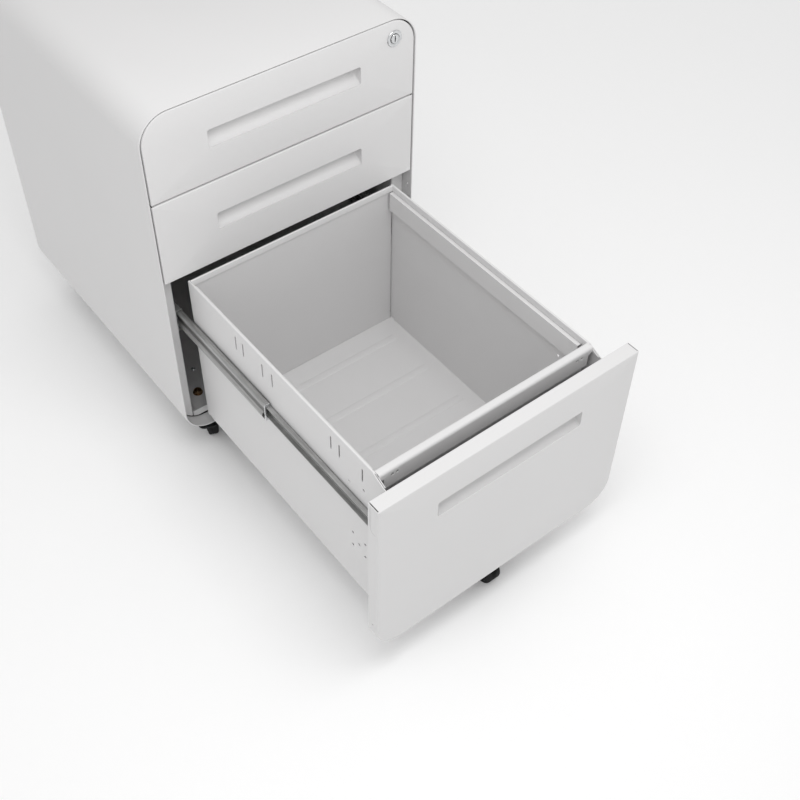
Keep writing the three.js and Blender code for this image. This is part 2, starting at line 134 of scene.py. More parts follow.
def folded(path, radii, thickness):
    """The closed section of a folded sheet whose middle line is the rounded path."""
    line = [Vector(p) for p in filleted(path, radii)]
    normals = [Vector((a.y - b.y, b.x - a.x)).normalized() for a, b in zip(line, line[1:])]
    one, other = [], []
    for point, before, after in zip(line, [normals[0], *normals], [*normals, normals[-1]]):
        reach = (before + after) / (1 + before.dot(after)) * thickness / 2
        one.append(tuple(point + reach))
        other.append(tuple(point - reach))
    return one + other[::-1]


# Meshes

def placed(point, along, axis):
    """A point of an outline, set at a distance along the axis that the outline is carried on."""
    a, b = point
    return {"x": (along, a, b), "y": (a, along, b), "z": (a, b, along)}[axis]


def new_piece(name, bm):
    """An object made from a bmesh whose faces are turned outwards."""
    bmesh.ops.recalc_face_normals(bm, faces=bm.faces)
    mesh = bpy.data.meshes.new(name)
    bm.to_mesh(mesh)
    bm.free()
    piece = bpy.data.objects.new(name, mesh)
    bpy.context.scene.collection.objects.link(piece)
    return piece


def add_loft(bm, rings, close=True):
    """Joins rings of points one after the next. The ends are capped, or joined to each other."""
    rows = [[bm.verts.new(p) for p in ring] for ring in rings]
    pairs = list(zip(rows, rows[1:]))
    if close:
        bm.faces.new(rows[0])
        bm.faces.new(rows[-1])
    else:
        pairs.append((rows[-1], rows[0]))
    for here, there in pairs:
        for i in range(len(here)):
            j = (i + 1) % len(here)
            bm.faces.new((here[i], here[j], there[j], there[i]))


def loft(name, rings, close=True):
    bm = bmesh.new()
    add_loft(bm, rings, close)
    return new_piece(name, bm)


def add_prism(bm, outline, axis, start, end):
    add_loft(bm, [[placed(p, along, axis) for p in outline] for along in (start, end)])


def prism(name, outline, axis, start, end):
    bm = bmesh.new()
    add_prism(bm, outline, axis, start, end)
    return new_piece(name, bm)


def prisms(name, solids):
    """One object that holds several separate prisms, each an outline, axis, start and end."""
    bm = bmesh.new()
    for outline, axis, start, end in solids:
        add_prism(bm, outline, axis, start, end)
    return new_piece(name, bm)


def add_lathe(bm, profile, axis, centre, steps):
    """Turns a closed profile of (radius, place along the axis). Points on the axis become poles."""
    rows = []
    for radius, along in profile:
        if radius < 1e-7:
            rows.append([bm.verts.new(turned_point(centre, axis, 0, 0, along))])
            continue
        spokes = [math.tau * i / steps for i in range(steps)]
        rows.append([bm.verts.new(turned_point(centre, axis, radius, t, along)) for t in spokes])
    pairs = list(zip(rows, rows[1:]))
    if len(rows[0]) > 1 or len(rows[-1]) > 1:
        pairs.append((rows[-1], rows[0]))
    for here, there in pairs:
        for i in range(steps):
            j = (i + 1) % steps
            corners = [here[i % len(here)], here[j % len(here)], there[j % len(there)], there[i % len(there)]]
            corners = list(dict.fromkeys(corners))
            if len(corners) > 2:
                bm.faces.new(corners)


def turned_point(centre, axis, radius, turn, along):
    """The point at a radius, turn and place along an axis that goes through centre."""
    axis = Vector(axis).normalized()
    across = axis.orthogonal().normalized()
    if abs(axis.z) < 0.9:
        across = axis.cross(Vector((0, 0, 1))).normalized()
    other = axis.cross(across)
    spoke = across * math.cos(turn) + other * math.sin(turn)
    return Vector(centre) + spoke * radius + axis * along


def lathe(name, profile, axis, centre, steps):
    bm = bmesh.new()
    add_lathe(bm, profile, axis, centre, steps)
    return new_piece(name, bm)


def disc_outline(centre, radius, steps):
    return arc(centre, radius, 0, math.tau, steps)[:-1]


def rod_profile(radius, start, end):
    return [(0, start), (radius, start), (radius, end), (0, end)]


def slot_outline(centre, half_a, half_b):
    """A slot with round ends along its longer half."""
    radius = min(half_a, half_b)
    low, high = (centre[0] - half_a, centre[1] - half_b), (centre[0] + half_a, centre[1] + half_b)
    return rounded_rectangle(low, high, [radius * 0.999] * 4, COARSE)


def block_outline(low, high):
    return [(low[0], low[1]), (high[0], low[1]), (high[0], high[1]), (low[0], high[1])]


def carved(piece, cutter, operation="DIFFERENCE"):
    """Cuts, joins or crosses a piece with a cutter, which is used up."""
    tool = piece.modifiers.new("carve", "BOOLEAN")
    tool.operation = operation
    tool.solver = "EXACT"
    tool.object = cutter
    bpy.context.view_layer.update()
    evaluated = piece.evaluated_get(bpy.context.evaluated_depsgraph_get())
    mesh = bpy.data.meshes.new_from_object(evaluated)
    piece.modifiers.clear()
    old = piece.data
    piece.data = mesh
    bpy.data.meshes.remove(old)
    mesh.name = piece.name
    bpy.data.objects.remove(cutter)
    return piece


def repeated(name, maker, places):
    """One object with a copy of maker's solid at each of the places, which are matrices."""
    master = maker()
    bm = bmesh.new()
    for place in places:
        copy = bmesh.new()
        copy.from_mesh(master.data)
        bmesh.ops.transform(copy, matrix=place, verts=copy.verts)
        scratch = bpy.data.meshes.new("scratch")
        copy.to_mesh(scratch)
        copy.free()
        bm.from_mesh(scratch)
        bpy.data.meshes.remove(scratch)
    bpy.data.objects.remove(master)
    return new_piece(name, bm)


def facing(point, direction, spin=0.0):
    """A matrix that sets a part drawn standing on the XY plane at point, standing along direction."""
    turn = Vector((0, 0, 1)).rotation_difference(Vector(direction)).to_matrix().to_4x4()
    return Matrix.Translation(point) @ turn @ Matrix.Rotation(spin, 4, "Z")


def eased(piece, width, segments=2):
    """Softens the edges of a piece, and shades its curves smooth."""
    mesh = piece.data
    mesh.polygons.foreach_set("use_smooth", [True] * len(mesh.polygons))
    mesh.set_sharp_from_angle(angle=SHARP)
    if width:
        edge = piece.modifiers.new("edges", "BEVEL")
        edge.width = width
        edge.segments = segments
        edge.limit_method = "ANGLE"
        edge.angle_limit = SHARP
        edge.harden_normals = True
        edge.use_clamp_overlap = True
    return piece


def fitted(piece, body, finish, replaced=()):
    """Gives a piece its finish, and sets it to ride on a body."""
    piece.data.materials.clear()
    piece.data.materials.append(FINISHES[finish])
    if replaced:
        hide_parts(*replaced)
    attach(piece, body)
    return piece


def kept(node, finish, edge=0.3 * MM):
    """A frame solid that stays as it is, with soft edges and a finish."""
    piece = frame["nodes"][node]
    weld = piece.modifiers.new("weld", "WELD")
    weld.merge_threshold = 0.01 * MM
    bevel = piece.modifiers.new("edges", "BEVEL")
    bevel.width = edge
    bevel.segments = 2
    bevel.limit_method = "ANGLE"
    bevel.angle_limit = SHARP
    bevel.harden_normals = True
    piece.data.polygons.foreach_set("use_smooth", [True] * len(piece.data.polygons))
    piece.data.materials.clear()
    piece.data.materials.append(FINISHES[finish])
    return piece


# Shaders

class Value:
    """A shader socket that takes part in sums, so that an expression adds its Math nodes."""

    def __init__(self, shader, socket):
        self.shader = shader
        self.socket = socket

    def _math(self, operation, *values):
        return self.shader.node("ShaderNodeMath", {"operation": operation}, dict(enumerate(values)))[0]

    def __add__(self, other):
        return self._math("ADD", self, other)

    def __sub__(self, other):
        return self._math("SUBTRACT", self, other)

    def __mul__(self, other):
        return self._math("MULTIPLY", self, other)

    def size(self):
        """This value without its sign."""
        return self._math("ABSOLUTE", self)

    def ramped(self, low, high, start=0.0, end=1.0):
        """Runs from start to end as this value goes from low to high."""
        inputs = {"Value": self, "From Min": low, "From Max": high, "To Min": start, "To Max": end}
        return self.shader.node("ShaderNodeMapRange", {"interpolation_type": "SMOOTHSTEP"}, inputs)["Result"]


class Outputs:
    """A node's outputs by name or number, as values."""

    def __init__(self, shader, node):
        self.shader = shader
        self.made = node

    def __getitem__(self, key):
        return Value(self.shader, self.made.outputs[key])


class Shader:
    """One material's nodes, ending in a Principled shader whose steady values are set on its own sockets."""

    def __init__(self, name, **steady):
        self.material = bpy.data.materials.new(name)
        self.material.use_nodes = True
        self.tree = self.material.node_tree
        self.surface = self.tree.nodes["Principled BSDF"]
        for socket, value in steady.items():
            self.surface.inputs[socket.replace("_", " ")].default_value = value
        self.place = self.node("ShaderNodeTexCoord", {}, {})["Object"]

    def node(self, kind, settings, inputs):
        """Adds a node, sets it up, and gives its sockets their values or links."""
        made = self.tree.nodes.new(kind)
        for setting, value in settings.items():
            setattr(made, setting, value)
        for key, value in inputs.items():
            if isinstance(value, Value):
                self.tree.links.new(value.socket, made.inputs[key])
            else:
                made.inputs[key].default_value = value
        return Outputs(self, made)

    def noise(self, scale, detail, roughness=0.5, where=None):
        inputs = {"Vector": where or self.place, "Scale": scale, "Detail": detail, "Roughness": roughness}
        return self.node("ShaderNodeTexNoise", {}, inputs)["Fac"]

    def stretched(self, x, y, z):
        """The place on the object, drawn out along an axis whose factor is small."""
        inputs = {0: self.place, 1: (x, y, z)}
        return self.node("ShaderNodeVectorMath", {"operation": "MULTIPLY"}, inputs)["Vector"]

    def mixed(self, share, one, other):
        """The colour one, turning to other as share goes to one."""
        inputs = {"Factor": share, 6: one, 7: other}
        return self.node("ShaderNodeMix", {"data_type": "RGBA"}, inputs)[2]

    def bumped(self, height, distance, strength):
        inputs = {"Height": height, "Distance": distance, "Strength": strength}
        return self.node("ShaderNodeBump", {}, inputs)["Normal"]

    def feed(self, **links):
        for socket, value in links.items():
            self.tree.links.new(value.socket, self.surface.inputs[socket.replace("_", " ")])
        return self.material


def tinted(colour, factor):
    """A colour made lighter or darker by a factor."""
    return tuple(min(channel * factor, 1.0) for channel in colour[:3]) + (1.0,)


def powder_coat(name, colour, spread=0.012):
    """Baked powder coat: an even colour, a fine orange peel and a slightly varied gloss."""
    shader = Shader(name, Specular_IOR_Level=0.42)
    cloud = shader.noise(3.5, 3.0)
    peel = shader.noise(620.0, 2.0, 0.55)
    speck = shader.noise(2600.0, 1.0)
    cloudy = shader.mixed(cloud.ramped(0.3, 0.7), tinted(colour, 1 - spread), tinted(colour, 1 + spread))
    base = shader.mixed(speck.ramped(0.62, 0.8) * 0.10, cloudy, tinted(colour, 0.86))
    gloss = cloud.ramped(0.25, 0.75, 0.43, 0.5) + peel * 0.05
    return shader.feed(
        Base_Color=base, Roughness=gloss, Normal=shader.bumped(peel + speck * 0.25, 0.06 * MM, 0.35),
    )


def plated_steel(name, colour, centre):
    """Zinc-plated strip, drawn lengthways, with fine lines, and a dark band along the middle of its web:
    painted shade of the pressed groove, with some grease.
    """
    shader = Shader(name, Metallic=0.55)
    lines = shader.noise(1.0, 3.0, 0.6, shader.stretched(700.0, 9.0, 700.0))
    film = shader.noise(38.0, 4.0, 0.6)
    spots = shader.noise(420.0, 2.0)
    height = shader.node("ShaderNodeSeparateXYZ", {}, {"Vector": shader.place})["Z"]
    # painted shade: how near a point is to the web's middle, where the pressed groove's shade is painted in
    # dark, together with some grease
    level = (height - centre).size()
    groove_shade_and_grease = film * 1.2 * MM + level
    worn = shader.mixed(film.ramped(0.35, 0.7), tinted(colour, 0.88), tinted(colour, 1.06))
    drawn = shader.mixed(lines.ramped(0.35, 0.65) * 0.45, worn, tinted(colour, 0.45))
    # painted shade of the groove, with grease: the colour goes up to 80% of the way to a near-black tone
    # along the web's middle
    base = shader.mixed(groove_shade_and_grease.ramped(6.2 * MM, 4.2 * MM, 0.0, 0.8), drawn, tinted(colour, 0.16))
    rough = film.ramped(0.3, 0.7, 0.30, 0.42) + spots * 0.06
    return shader.feed(Base_Color=base, Roughness=rough, Normal=shader.bumped(lines, 0.02 * MM, 0.4))


def galvanised(name, colour):
    """Hot-dipped zinc, with its crystal spangle."""
    shader = Shader(name, Metallic=0.85)
    warp = shader.noise(60.0, 2.0)
    inputs = {"Vector": shader.place, "Scale": 130.0, "Randomness": 1.0}
    crystal = shader.node("ShaderNodeTexVoronoi", {"feature": "F1"}, inputs)
    tone = shader.node("ShaderNodeSeparateColor", {}, {"Color": crystal["Color"]})["Red"]
    base = shader.mixed(tone * 0.8 + warp * 0.2, tinted(colour, 0.68), tinted(colour, 1.08))
    rough = tone.ramped(0.0, 1.0, 0.38, 0.55)
    return shader.feed(Base_Color=base, Roughness=rough, Normal=shader.bumped(tone + warp, 0.02 * MM, 0.3))


def moulded(name, colour):
    """Moulded plastic with a fine spark-eroded grain and paler scuffs."""
    shader = Shader(name, Specular_IOR_Level=0.25)
    texture = shader.noise(1100.0, 2.0, 0.6)
    scuff = shader.noise(55.0, 5.0, 0.65).ramped(0.58, 0.8)
    base = shader.mixed(scuff * 0.5, tinted(colour, 1.0), tinted(colour, 2.4))
    gloss = texture.ramped(0.3, 0.7, 0.42, 0.56) + scuff * 0.1
    return shader.feed(Base_Color=base, Roughness=gloss, Normal=shader.bumped(texture, 0.05 * MM, 0.5))


def rubber(name, colour):
    """Caster tread: matt, with dust that it has picked up and fine wear lines round it."""
    shader = Shader(name, Specular_IOR_Level=0.2)
    grain = shader.noise(900.0, 3.0, 0.6)
    dust = shader.noise(90.0, 5.0, 0.7).ramped(0.45, 0.8)
    base = shader.mixed(dust * 0.12, tinted(colour, 1.0), (0.16, 0.155, 0.15, 1.0))
    gloss = dust.ramped(0.0, 1.0, 0.66, 0.86)
    return shader.feed(Base_Color=base, Roughness=gloss, Normal=shader.bumped(grain, 0.06 * MM, 0.5))


def polished(name, colour, rough=(0.08, 0.2)):
    """Bright plated metal with a trace of handling on it."""
    shader = Shader(name, Metallic=1.0)
    touch = shader.noise(140.0, 4.0, 0.65)
    fine = shader.noise(2400.0, 1.0)
    base = shader.mixed(touch.ramped(0.35, 0.75), tinted(colour, 1.0), tinted(colour, 0.86))
    gloss = touch.ramped(0.35, 0.75, *rough)
    return shader.feed(Base_Color=base, Roughness=gloss, Normal=shader.bumped(fine, 0.01 * MM, 0.2))


def pale_floor(name, colour):
    shader = Shader(name, Specular_IOR_Level=0.2)
    cloud = shader.noise(1.5, 2.0)
    base = shader.mixed(cloud, tinted(colour, 0.995), tinted(colour, 1.005))
    return shader.feed(Base_Color=base, Roughness=cloud.ramped(0.2, 0.8, 0.75, 0.85))


FINISHES = {}


def colour_setting(name, description, default):
    return FloatVectorProperty(
        name=name, description=description, subtype="COLOR", size=3, min=0, max=1, default=default,
    )


def measure(name, description, default, least, most):
    return FloatProperty(
        name=name, description=description, unit="LENGTH", default=default, min=least, max=most,
    )


class CabinetColours(bpy.types.PropertyGroup):
    """The colours of the cabinet's finishes."""

    paint: colour_setting("Paint", "Powder coat on the casing and drawers", (0.685, 0.68, 0.68))
    # painted shade: the near-black of the channel linings stands in for the shade seen through the hang slots
    inside: colour_setting("Inside", "Lining of the channels behind the hang slots", (0.09, 0.087, 0.084))
    steel: colour_setting("Slides", "Plated steel of the drawer slides", (0.47, 0.47, 0.465))
    zinc: colour_setting("Zinc", "Galvanised posts, lock bar and brackets", (0.53, 0.535, 0.525))
    chrome: colour_setting("Chrome", "The lock", (0.72, 0.73, 0.74))
    brass: colour_setting("Inserts", "Yellow-passivated threaded inserts", (0.36, 0.23, 0.12))
    plastic: colour_setting("Black plastic", "Caster housings, pedals and caps", (0.007, 0.007, 0.0075))
    tread: colour_setting("Tread", "Caster wheels", (0.008, 0.008, 0.0085))
    floor: colour_setting("Floor", "The pale floor under the cabinet", (0.985, 0.985, 0.985))


class CabinetSizes(bpy.types.PropertyGroup):
    """The sizes that shape the sheet metal; the rest comes from the frame."""

    casing_radius: measure("Casing corner", "Outer radius of the casing's corners", 40 * MM, 10 * MM, 60 * MM)
    casing_sheet: measure("Casing sheet", "Thickness of the casing's sheet", 1.5 * MM, 0.6 * MM, 3 * MM)
    front_radius: measure("Front corner", "Radius of the fronts' rounded corners", 37 * MM, 5 * MM, 60 * MM)
    sheet: measure("Drawer sheet", "Thickness of the folded drawer parts", 1.2 * MM, 0.6 * MM, 2 * MM)
    front_edge: measure("Front edge", "Radius round each front's face", 1.5 * MM, 0.3 * MM, 4 * MM)
    fold: measure("Fold", "Middle radius of a folded corner", 2 * MM, 1 * MM, 5 * MM)
    hem: measure("Hem", "Height of the hems on the drawer boxes", 9 * MM, 3 * MM, 15 * MM)
    cage_balls: IntProperty(name="Balls", description="Balls in each ball cage", default=10, min=2, max=24)


def flat(low, high):
    """The X and Z of two corners."""
    return (low.x, low.z), (high.x, high.z)


def rings_along_y(low, high, radii, steps):
    """Rings of the rounded rectangle, each from an inset and a place along Y."""
    return [[placed(p, y, "y") for p in inset_rectangle(low, high, radii, inset)] for inset, y in steps]


def mirrored(outline, side):
    return [(side * a, b) for a, b in outline]


# Fasteners, drawn standing on the XY plane

def pan_screw(radius=3.6 * MM, height=1.9 * MM):
    """A pan head with a cross recess."""
    dome = arc((0, -radius * 0.9), radius * 1.35, math.radians(90), math.radians(48), 6)
    top = max(z for _, z in dome)
    profile = [(max(r, 0.0), height + (z - top)) for r, z in dome]
    profile += [(radius, 0.35 * MM), (radius - 0.15 * MM, 0.0), (0.0, 0.0)]
    profile[0] = (0.0, profile[0][1])
    head = lathe("head", profile, UP, ORIGIN, 28)
    arm, half = radius * 0.5, 0.42 * MM
    cross = [
        (-arm, -half), (-half, -half), (-half, -arm), (half, -arm), (half, -half), (arm, -half),
        (arm, half), (half, half), (half, arm), (-half, arm), (-half, half), (-arm, half),
    ]
    return carved(head, prism("recess", cross, "z", height * 0.35, height * 2))


def hex_nut(across=11 * MM, height=5 * MM, bore=3.2 * MM):
    """A hexagon nut with a flange and a chamfered crown, and a stud's end standing in it."""
    corner = across / 2 / math.cos(math.pi / 6)
    body = prism("nut", disc_outline((0, 0), corner, 6), "z", 0.8 * MM, height)
    crown = [
        (0, 0), (corner * 1.12, 0), (corner * 1.12, 0.8 * MM), (corner, 1.2 * MM),
        (corner, height - 1.1 * MM), (across / 2 * 0.96, height), (0, height),
    ]
    body = carved(body, lathe("crown", crown, UP, ORIGIN, 36), "INTERSECT")
    flange = [(0, 0), (corner * 1.12, 0), (corner * 1.12, 0.8 * MM), (corner, 1.1 * MM), (0, 1.1 * MM)]
    body = carved(body, lathe("flange", flange, UP, ORIGIN, 36), "UNION")
    body = carved(body, lathe("bore", rod_profile(bore, 1.4 * MM, height * 2), UP, ORIGIN, 24))
    stud = [
        (0, 1.2 * MM), (bore - 0.25 * MM, 1.2 * MM), (bore - 0.25 * MM, height - 0.9 * MM),
        (bore - 0.8 * MM, height - 0.4 * MM), (0, height - 0.4 * MM),
    ]
    return carved(body, lathe("stud", stud, UP, ORIGIN, 24), "UNION")


# Casing

NOTCH_SIDE = 1.7 * MM       # room beside the fifth wheel's bracket
NOTCH_BEHIND = 2 * MM
SLOT_DEPTH = 0.8 * MM
CATCH_PLACE = (-1 * MM, 309.5 * MM)         # along Y and Z
CATCH_RADIUS = 4.2 * MM
LOCK_HOOKS = (200 * MM, 424 * MM, 532 * MM)
HOOK_WINDOW = (17 * MM, 25 * MM, 1.5 * MM, 12.5 * MM)   # front, back, below and above a hook
FLOOR_SEAM = 2.4 * MM       # gap under the front posts and the rail
# placing of the black strip that paints the shade in the floor seam
STRIP_BACK = 0.5 * MM
STRIP_DEPTH = 6 * MM
STRIP_SPREAD = 1.002        # makes the cutter wider than the strip


def notch_cutter(floor):
    """The way through the casing's floor for the bracket, where it stands with the drawer shut."""
    low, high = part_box("fifth_wheel_bracket")
    travel = -JOINTS["file_drawer_slide"]["range_m"][0]
    back = high.y + travel + NOTCH_BEHIND
    outline = rounded_rectangle(
        (low.x - NOTCH_SIDE, floor.y - 5 * MM), (high.x + NOTCH_SIDE, back), [0, 0, 3 * MM, 3 * MM], COARSE,
    )
    return prism("notch", outline, "z", floor.z - 5 * MM, floor.z + 22 * MM)


def catch_groove(wall):
    """A C-shaped press mark on the inside of the right wall, beside the front rim."""
    outside = arc(CATCH_PLACE, CATCH_RADIUS, math.radians(115), math.radians(275), 14)
    inside = arc(CATCH_PLACE, CATCH_RADIUS - 1.0 * MM, math.radians(275), math.radians(115), 14)
    return prism("catch", outside + inside, "x", wall - 1 * MM, wall + SLOT_DEPTH)


def casing_wrap(sizes):
    low, high = WIDE_LOW, WIDE_HIGH
    radii = [sizes.casing_radius] * 4
    sheet = sizes.casing_sheet
    steps = ((0, low.y), (0, high.y), (sheet, high.y), (sheet, low.y))
    wrap = loft("casing_wrap", rings_along_y(*flat(low, high), radii, steps), close=False)
    carved(wrap, notch_cutter(low))
    carved(wrap, catch_groove(high.x - sheet))
    eased(wrap, 0.45 * MM)
    return fitted(wrap, "cabinet", "casing_paint", ["casing_shell"])


def back_cover(sizes):
    """A pan that closes the back, with a shallow pressed field."""
    low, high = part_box("back_panel")
    sheet, field, slope, press = sizes.sheet, 30 * MM, 4 * MM, 2.5 * MM
    radii = [sizes.casing_radius - (low.x - WIDE_LOW.x)] * 4
    steps = (
        (field + slope, high.y - press - sheet), (field, high.y - sheet), (sheet, high.y - sheet),
        (sheet, low.y), (0, low.y), (0, high.y - 1.2 * MM), (0.35 * MM, high.y - 0.35 * MM),
        (1.2 * MM, high.y), (field, high.y), (field + slope, high.y - press),
    )
    cover = loft("back_cover", rings_along_y(*flat(low, high), radii, steps))
    eased(cover, 0.5 * MM, 3)
    fitted(cover, "cabinet", "paint", ["back_panel"])
    across = [low.x + 15 * MM, (low.x + high.x) / 2, high.x - 15 * MM]
    up = [low.z + 45 * MM, (low.z + high.z) / 2, high.z - 45 * MM]
    spots = [(x, z) for x in (across[0], across[2]) for z in up]
    spots += [(across[1], low.z + 15 * MM), (across[1], high.z - 15 * MM)]
    random.seed(4)
    places = [facing((x, high.y - 0.2 * MM, z), (0, 1, 0), random.uniform(0, QUARTER)) for x, z in spots]
    screws = repeated("back_cover_screws", pan_screw, places)
    fitted(eased(screws, 0), "cabinet", "zinc")
    return cover


def inner_core(low, high, sizes, lift=0.0):
    """A block with the casing's rounded corners, drawn inwards, to trim what stands inside it."""
    inset = sizes.casing_sheet + GAP
    steps = ((inset, low.y - MM), (inset, high.y + MM))
    core = loft("core", rings_along_y(*flat(WIDE_LOW, WIDE_HIGH), [sizes.casing_radius] * 4, steps))
    core.data.transform(Matrix.Translation((0, 0, lift)))
    return core


def post(node, sizes, turn):
    """An angle post whose face closes the side of the front or back, and whose web carries the slides."""
    low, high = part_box(node)
    side = 1 if low.x > 0 else -1
    sheet = sizes.sheet
    web, edge = min(abs(low.x), abs(high.x)) + sheet / 2, max(abs(low.x), abs(high.x))
    face, end = (low.y + sheet / 2, high.y) if turn > 0 else (high.y - sheet / 2, low.y)
    outline = mirrored(folded([(edge, face), (web, face), (web, end)], [sizes.fold], sheet), side)
    piece = prism(f"{node}_angle", outline, "z", low.z, high.z)
    carved(piece, inner_core(low, high, sizes, FLOOR_SEAM if turn > 0 else 0.0), "INTERSECT")
    middle_y = (low.y + high.y) / 2
    holes = []
    for lower, upper in zip(("file", "middle"), ("middle", "top")):
        between = (slide_height(lower) + slide_height(upper)) / 2
        for shift in (-12 * MM, 12 * MM):
            slot = slot_outline((middle_y + 8 * MM, between + shift), 2.5 * MM, 5 * MM)
            holes.append((slot, "x", web - 3 * MM, web + 3 * MM))
    if node == "front_post_right":
        front, back, below, above = HOOK_WINDOW
        for hook in LOCK_HOOKS:
            window = block_outline((front, hook - below), (back, hook + above))
            holes.append((window, "x", web - 2 * MM, web + 2 * MM))
    if side < 0:
        holes = [(outline, axis, -end, -start) for outline, axis, start, end in holes]
    carved(piece, prisms("holes", holes))
    eased(piece, 0.2 * MM)
    return piece


def bottom_rail(sizes):
    """An angle along the front of the floor, with a seam under it and the way through for the bracket."""
    low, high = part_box("bottom_rail")
    sheet = sizes.sheet
    face, foot = low.y + sheet / 2, low.z + FLOOR_SEAM + sheet / 2
    outline = folded([(face, high.z), (face, foot), (high.y, foot)], [sizes.fold], sheet)
    rail = prism("floor_rail", outline, "x", low.x, high.x)
    carved(rail, inner_core(low, high, sizes, FLOOR_SEAM), "INTERSECT")
    carved(rail, notch_cutter(low))
    eased(rail, 0.25 * MM)
    return fitted(rail, "cabinet", "paint", ["bottom_rail"])


def painted_seam_shade(sizes):
    """A black strip in the seam between the casing's floor and the posts and rail that stand on it: painted
    shade of that gap.
    """
    low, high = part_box("bottom_rail")
    start, end = low + Vector((0, STRIP_BACK + MM, 0)), low + Vector((0, STRIP_BACK + STRIP_DEPTH - MM, 0))
    strip = inner_core(start, end, sizes)
    strip.name = strip.data.name = "floor_seam_strip"
    cutter = inner_core(low, high, sizes, FLOOR_SEAM - GAP)
    cutter.data.transform(Matrix.Scale(STRIP_SPREAD, 4, (1, 0, 0)))
    carved(strip, cutter)
    carved(strip, notch_cutter(low))
    # painted shade: the strip takes the black plastic finish, standing in for the shadow in the seam
    return fitted(eased(strip, 0), "cabinet", "plastic")


def slide_height(drawer):
    low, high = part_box(f"{drawer}_outer_slide_left")
    return (low.z + high.z) / 2


def casing_inserts(sizes):
    """Threaded inserts and their nuts on the casing's floor, over the casters, with the plates' bolts."""
    floor = WIDE_LOW.z + sizes.casing_sheet
    nuts, bolts = [], []
    for corner in CORNERS:
        x, y, _ = JOINTS[f"swivel_{corner}"]["pos_m"]
        front = y < (WIDE_LOW.y + WIDE_HIGH.y) / 2
        lift = FLOOR_SEAM + MM if front else 0
        inwards = 53 * MM if front else -53 * MM
        nuts.append(facing((x - 9 * MM, y + 6 * MM, floor + lift), UP, 0.3))
        bolts.append(facing((x + 11 * MM, y + inwards, floor), UP, 0.7))
    inserts = repeated("caster_inserts", hex_nut, nuts)
    fitted(eased(inserts, 0.15 * MM), "cabinet", "brass")
    heads = repeated("floor_bolts", pan_screw, bolts)
    fitted(eased(heads, 0), "cabinet", "chrome")


# Fronts and pulls

TAB_DROP = 46 * MM         # how far the side tab reaches below the front's top edge
TAB_FRONT = 4.7 * MM       # these two from the front's face
TAB_BACK = 14.2 * MM
TAB_ROUND = 8 * MM
TAB_GROOVE = 0.8 * MM
SEAM_EDGE = 0.6 * MM
SEAM = 1.3 * MM
SEAM_DEPTH = 3 * MM
PRESS_MARK = (9.5 * MM, 47 * MM, 1.4 * MM)     # along Y and Z, and its radius
LINER_SETBACK = 16.8 * MM
LINER_SHEET = 0.9 * MM
SQUARE_CORNER = 0.9 * MM
PULL_FLANGE = 5 * MM
PULL_ROUND = 3 * MM
PULL_LIP = 0.6 * MM
CUP_STEPS = 8
CUP_FLANGE = 4.4 * MM
CUP_ROUND = 2.5 * MM
CUP_TURN = 0.6             # share of the depth where the walls start to close in
CUP_RISE = 8 * MM
CUP_CURVE = 1.3
LOCK_BORE = 9.3 * MM
LINER_SLOTS = range(-3, 4)
LINER_PITCH = 38 * MM


def front_radii(drawer, sizes):
    radius, square = sizes.front_radius, SQUARE_CORNER
    return {
        "file": [radius, radius, square, square],
        "middle": [square] * 4,
        "top": [square, square, radius, radius],
    }[drawer]


def pull_window(drawer):
    """The pull's opening in the front, from the cup that stands round it."""
    low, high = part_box(f"{drawer}_pull")
    return (low.x + PULL_FLANGE, low.z + PULL_FLANGE), (high.x - PULL_FLANGE, high.z - PULL_FLANGE)


def side_marks(side, low, high, sizes):
    """Cuts in a side of a front: the seam of its top flange, its lapped tab's edge and a press mark."""
    edge = high.x if side > 0 else low.x
    rear, tab_foot = low.y + TAB_BACK, high.z - TAB_DROP
    lap = folded(
        [(rear, high.z - SEAM_DEPTH - 2 * MM), (rear, tab_foot), (low.y + TAB_FRONT, tab_foot)],
        [TAB_ROUND], TAB_GROOVE,
    )
    mark_y, mark_z, radius = PRESS_MARK
    dimple = disc_outline((low.y + mark_y, low.z + mark_z), radius, 20)
    near, far = sorted((edge - side * 0.8 * MM, edge + side * MM))
    cuts = [(outline, "x", near, far) for outline in (lap, dimple)]
    outer, inner = edge - side * SEAM_EDGE, edge - side * (SEAM_EDGE + SEAM)
    seam = block_outline((min(outer, inner), low.y + sizes.front_edge), (max(outer, inner), high.y + MM))
    return prisms("marks", [*cuts, (seam, "z", high.z - SEAM_DEPTH, high.z + MM)])


def front_pan(drawer, sizes):
    low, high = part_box(f"{drawer}_front")
    sheet, edge = sizes.sheet, sizes.front_edge
    radii = front_radii(drawer, sizes)
    turns = [QUARTER * i / COARSE for i in range(COARSE + 1)]
    inner = 0.5 * MM
    steps = [(sheet + inner, low.y + sheet), (sheet, low.y + sheet + inner), (sheet, high.y), (0, high.y)]
    steps += [(edge - edge * math.cos(t), low.y + edge - edge * math.sin(t)) for t in turns]
    rings = rings_along_y(*flat(low, high), radii, steps)
    window = rounded_rectangle(*pull_window(drawer), [PULL_ROUND] * 4)
    rings += [[placed(p, y, "y") for p in window] for y in (low.y, low.y + sheet)]
    pan = loft(f"{drawer}_front_pan", rings, close=False)
    if drawer == "top":
        carved(pan, lock_bore(low, high))
    else:
        for side in (-1, 1):
            carved(pan, side_marks(side, low, high, sizes))
    eased(pan, 0.5 * MM, 3)
    return fitted(pan, f"{drawer}_drawer", "paint", [f"{drawer}_front"])


def lock_bore(low, high):
    barrel_low, barrel_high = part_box("lock_barrel")
    centre = (barrel_low + barrel_high) / 2
    return prism("bore", disc_outline((centre.x, centre.z), LOCK_BORE, 40), "y", low.y - MM, high.y + MM)


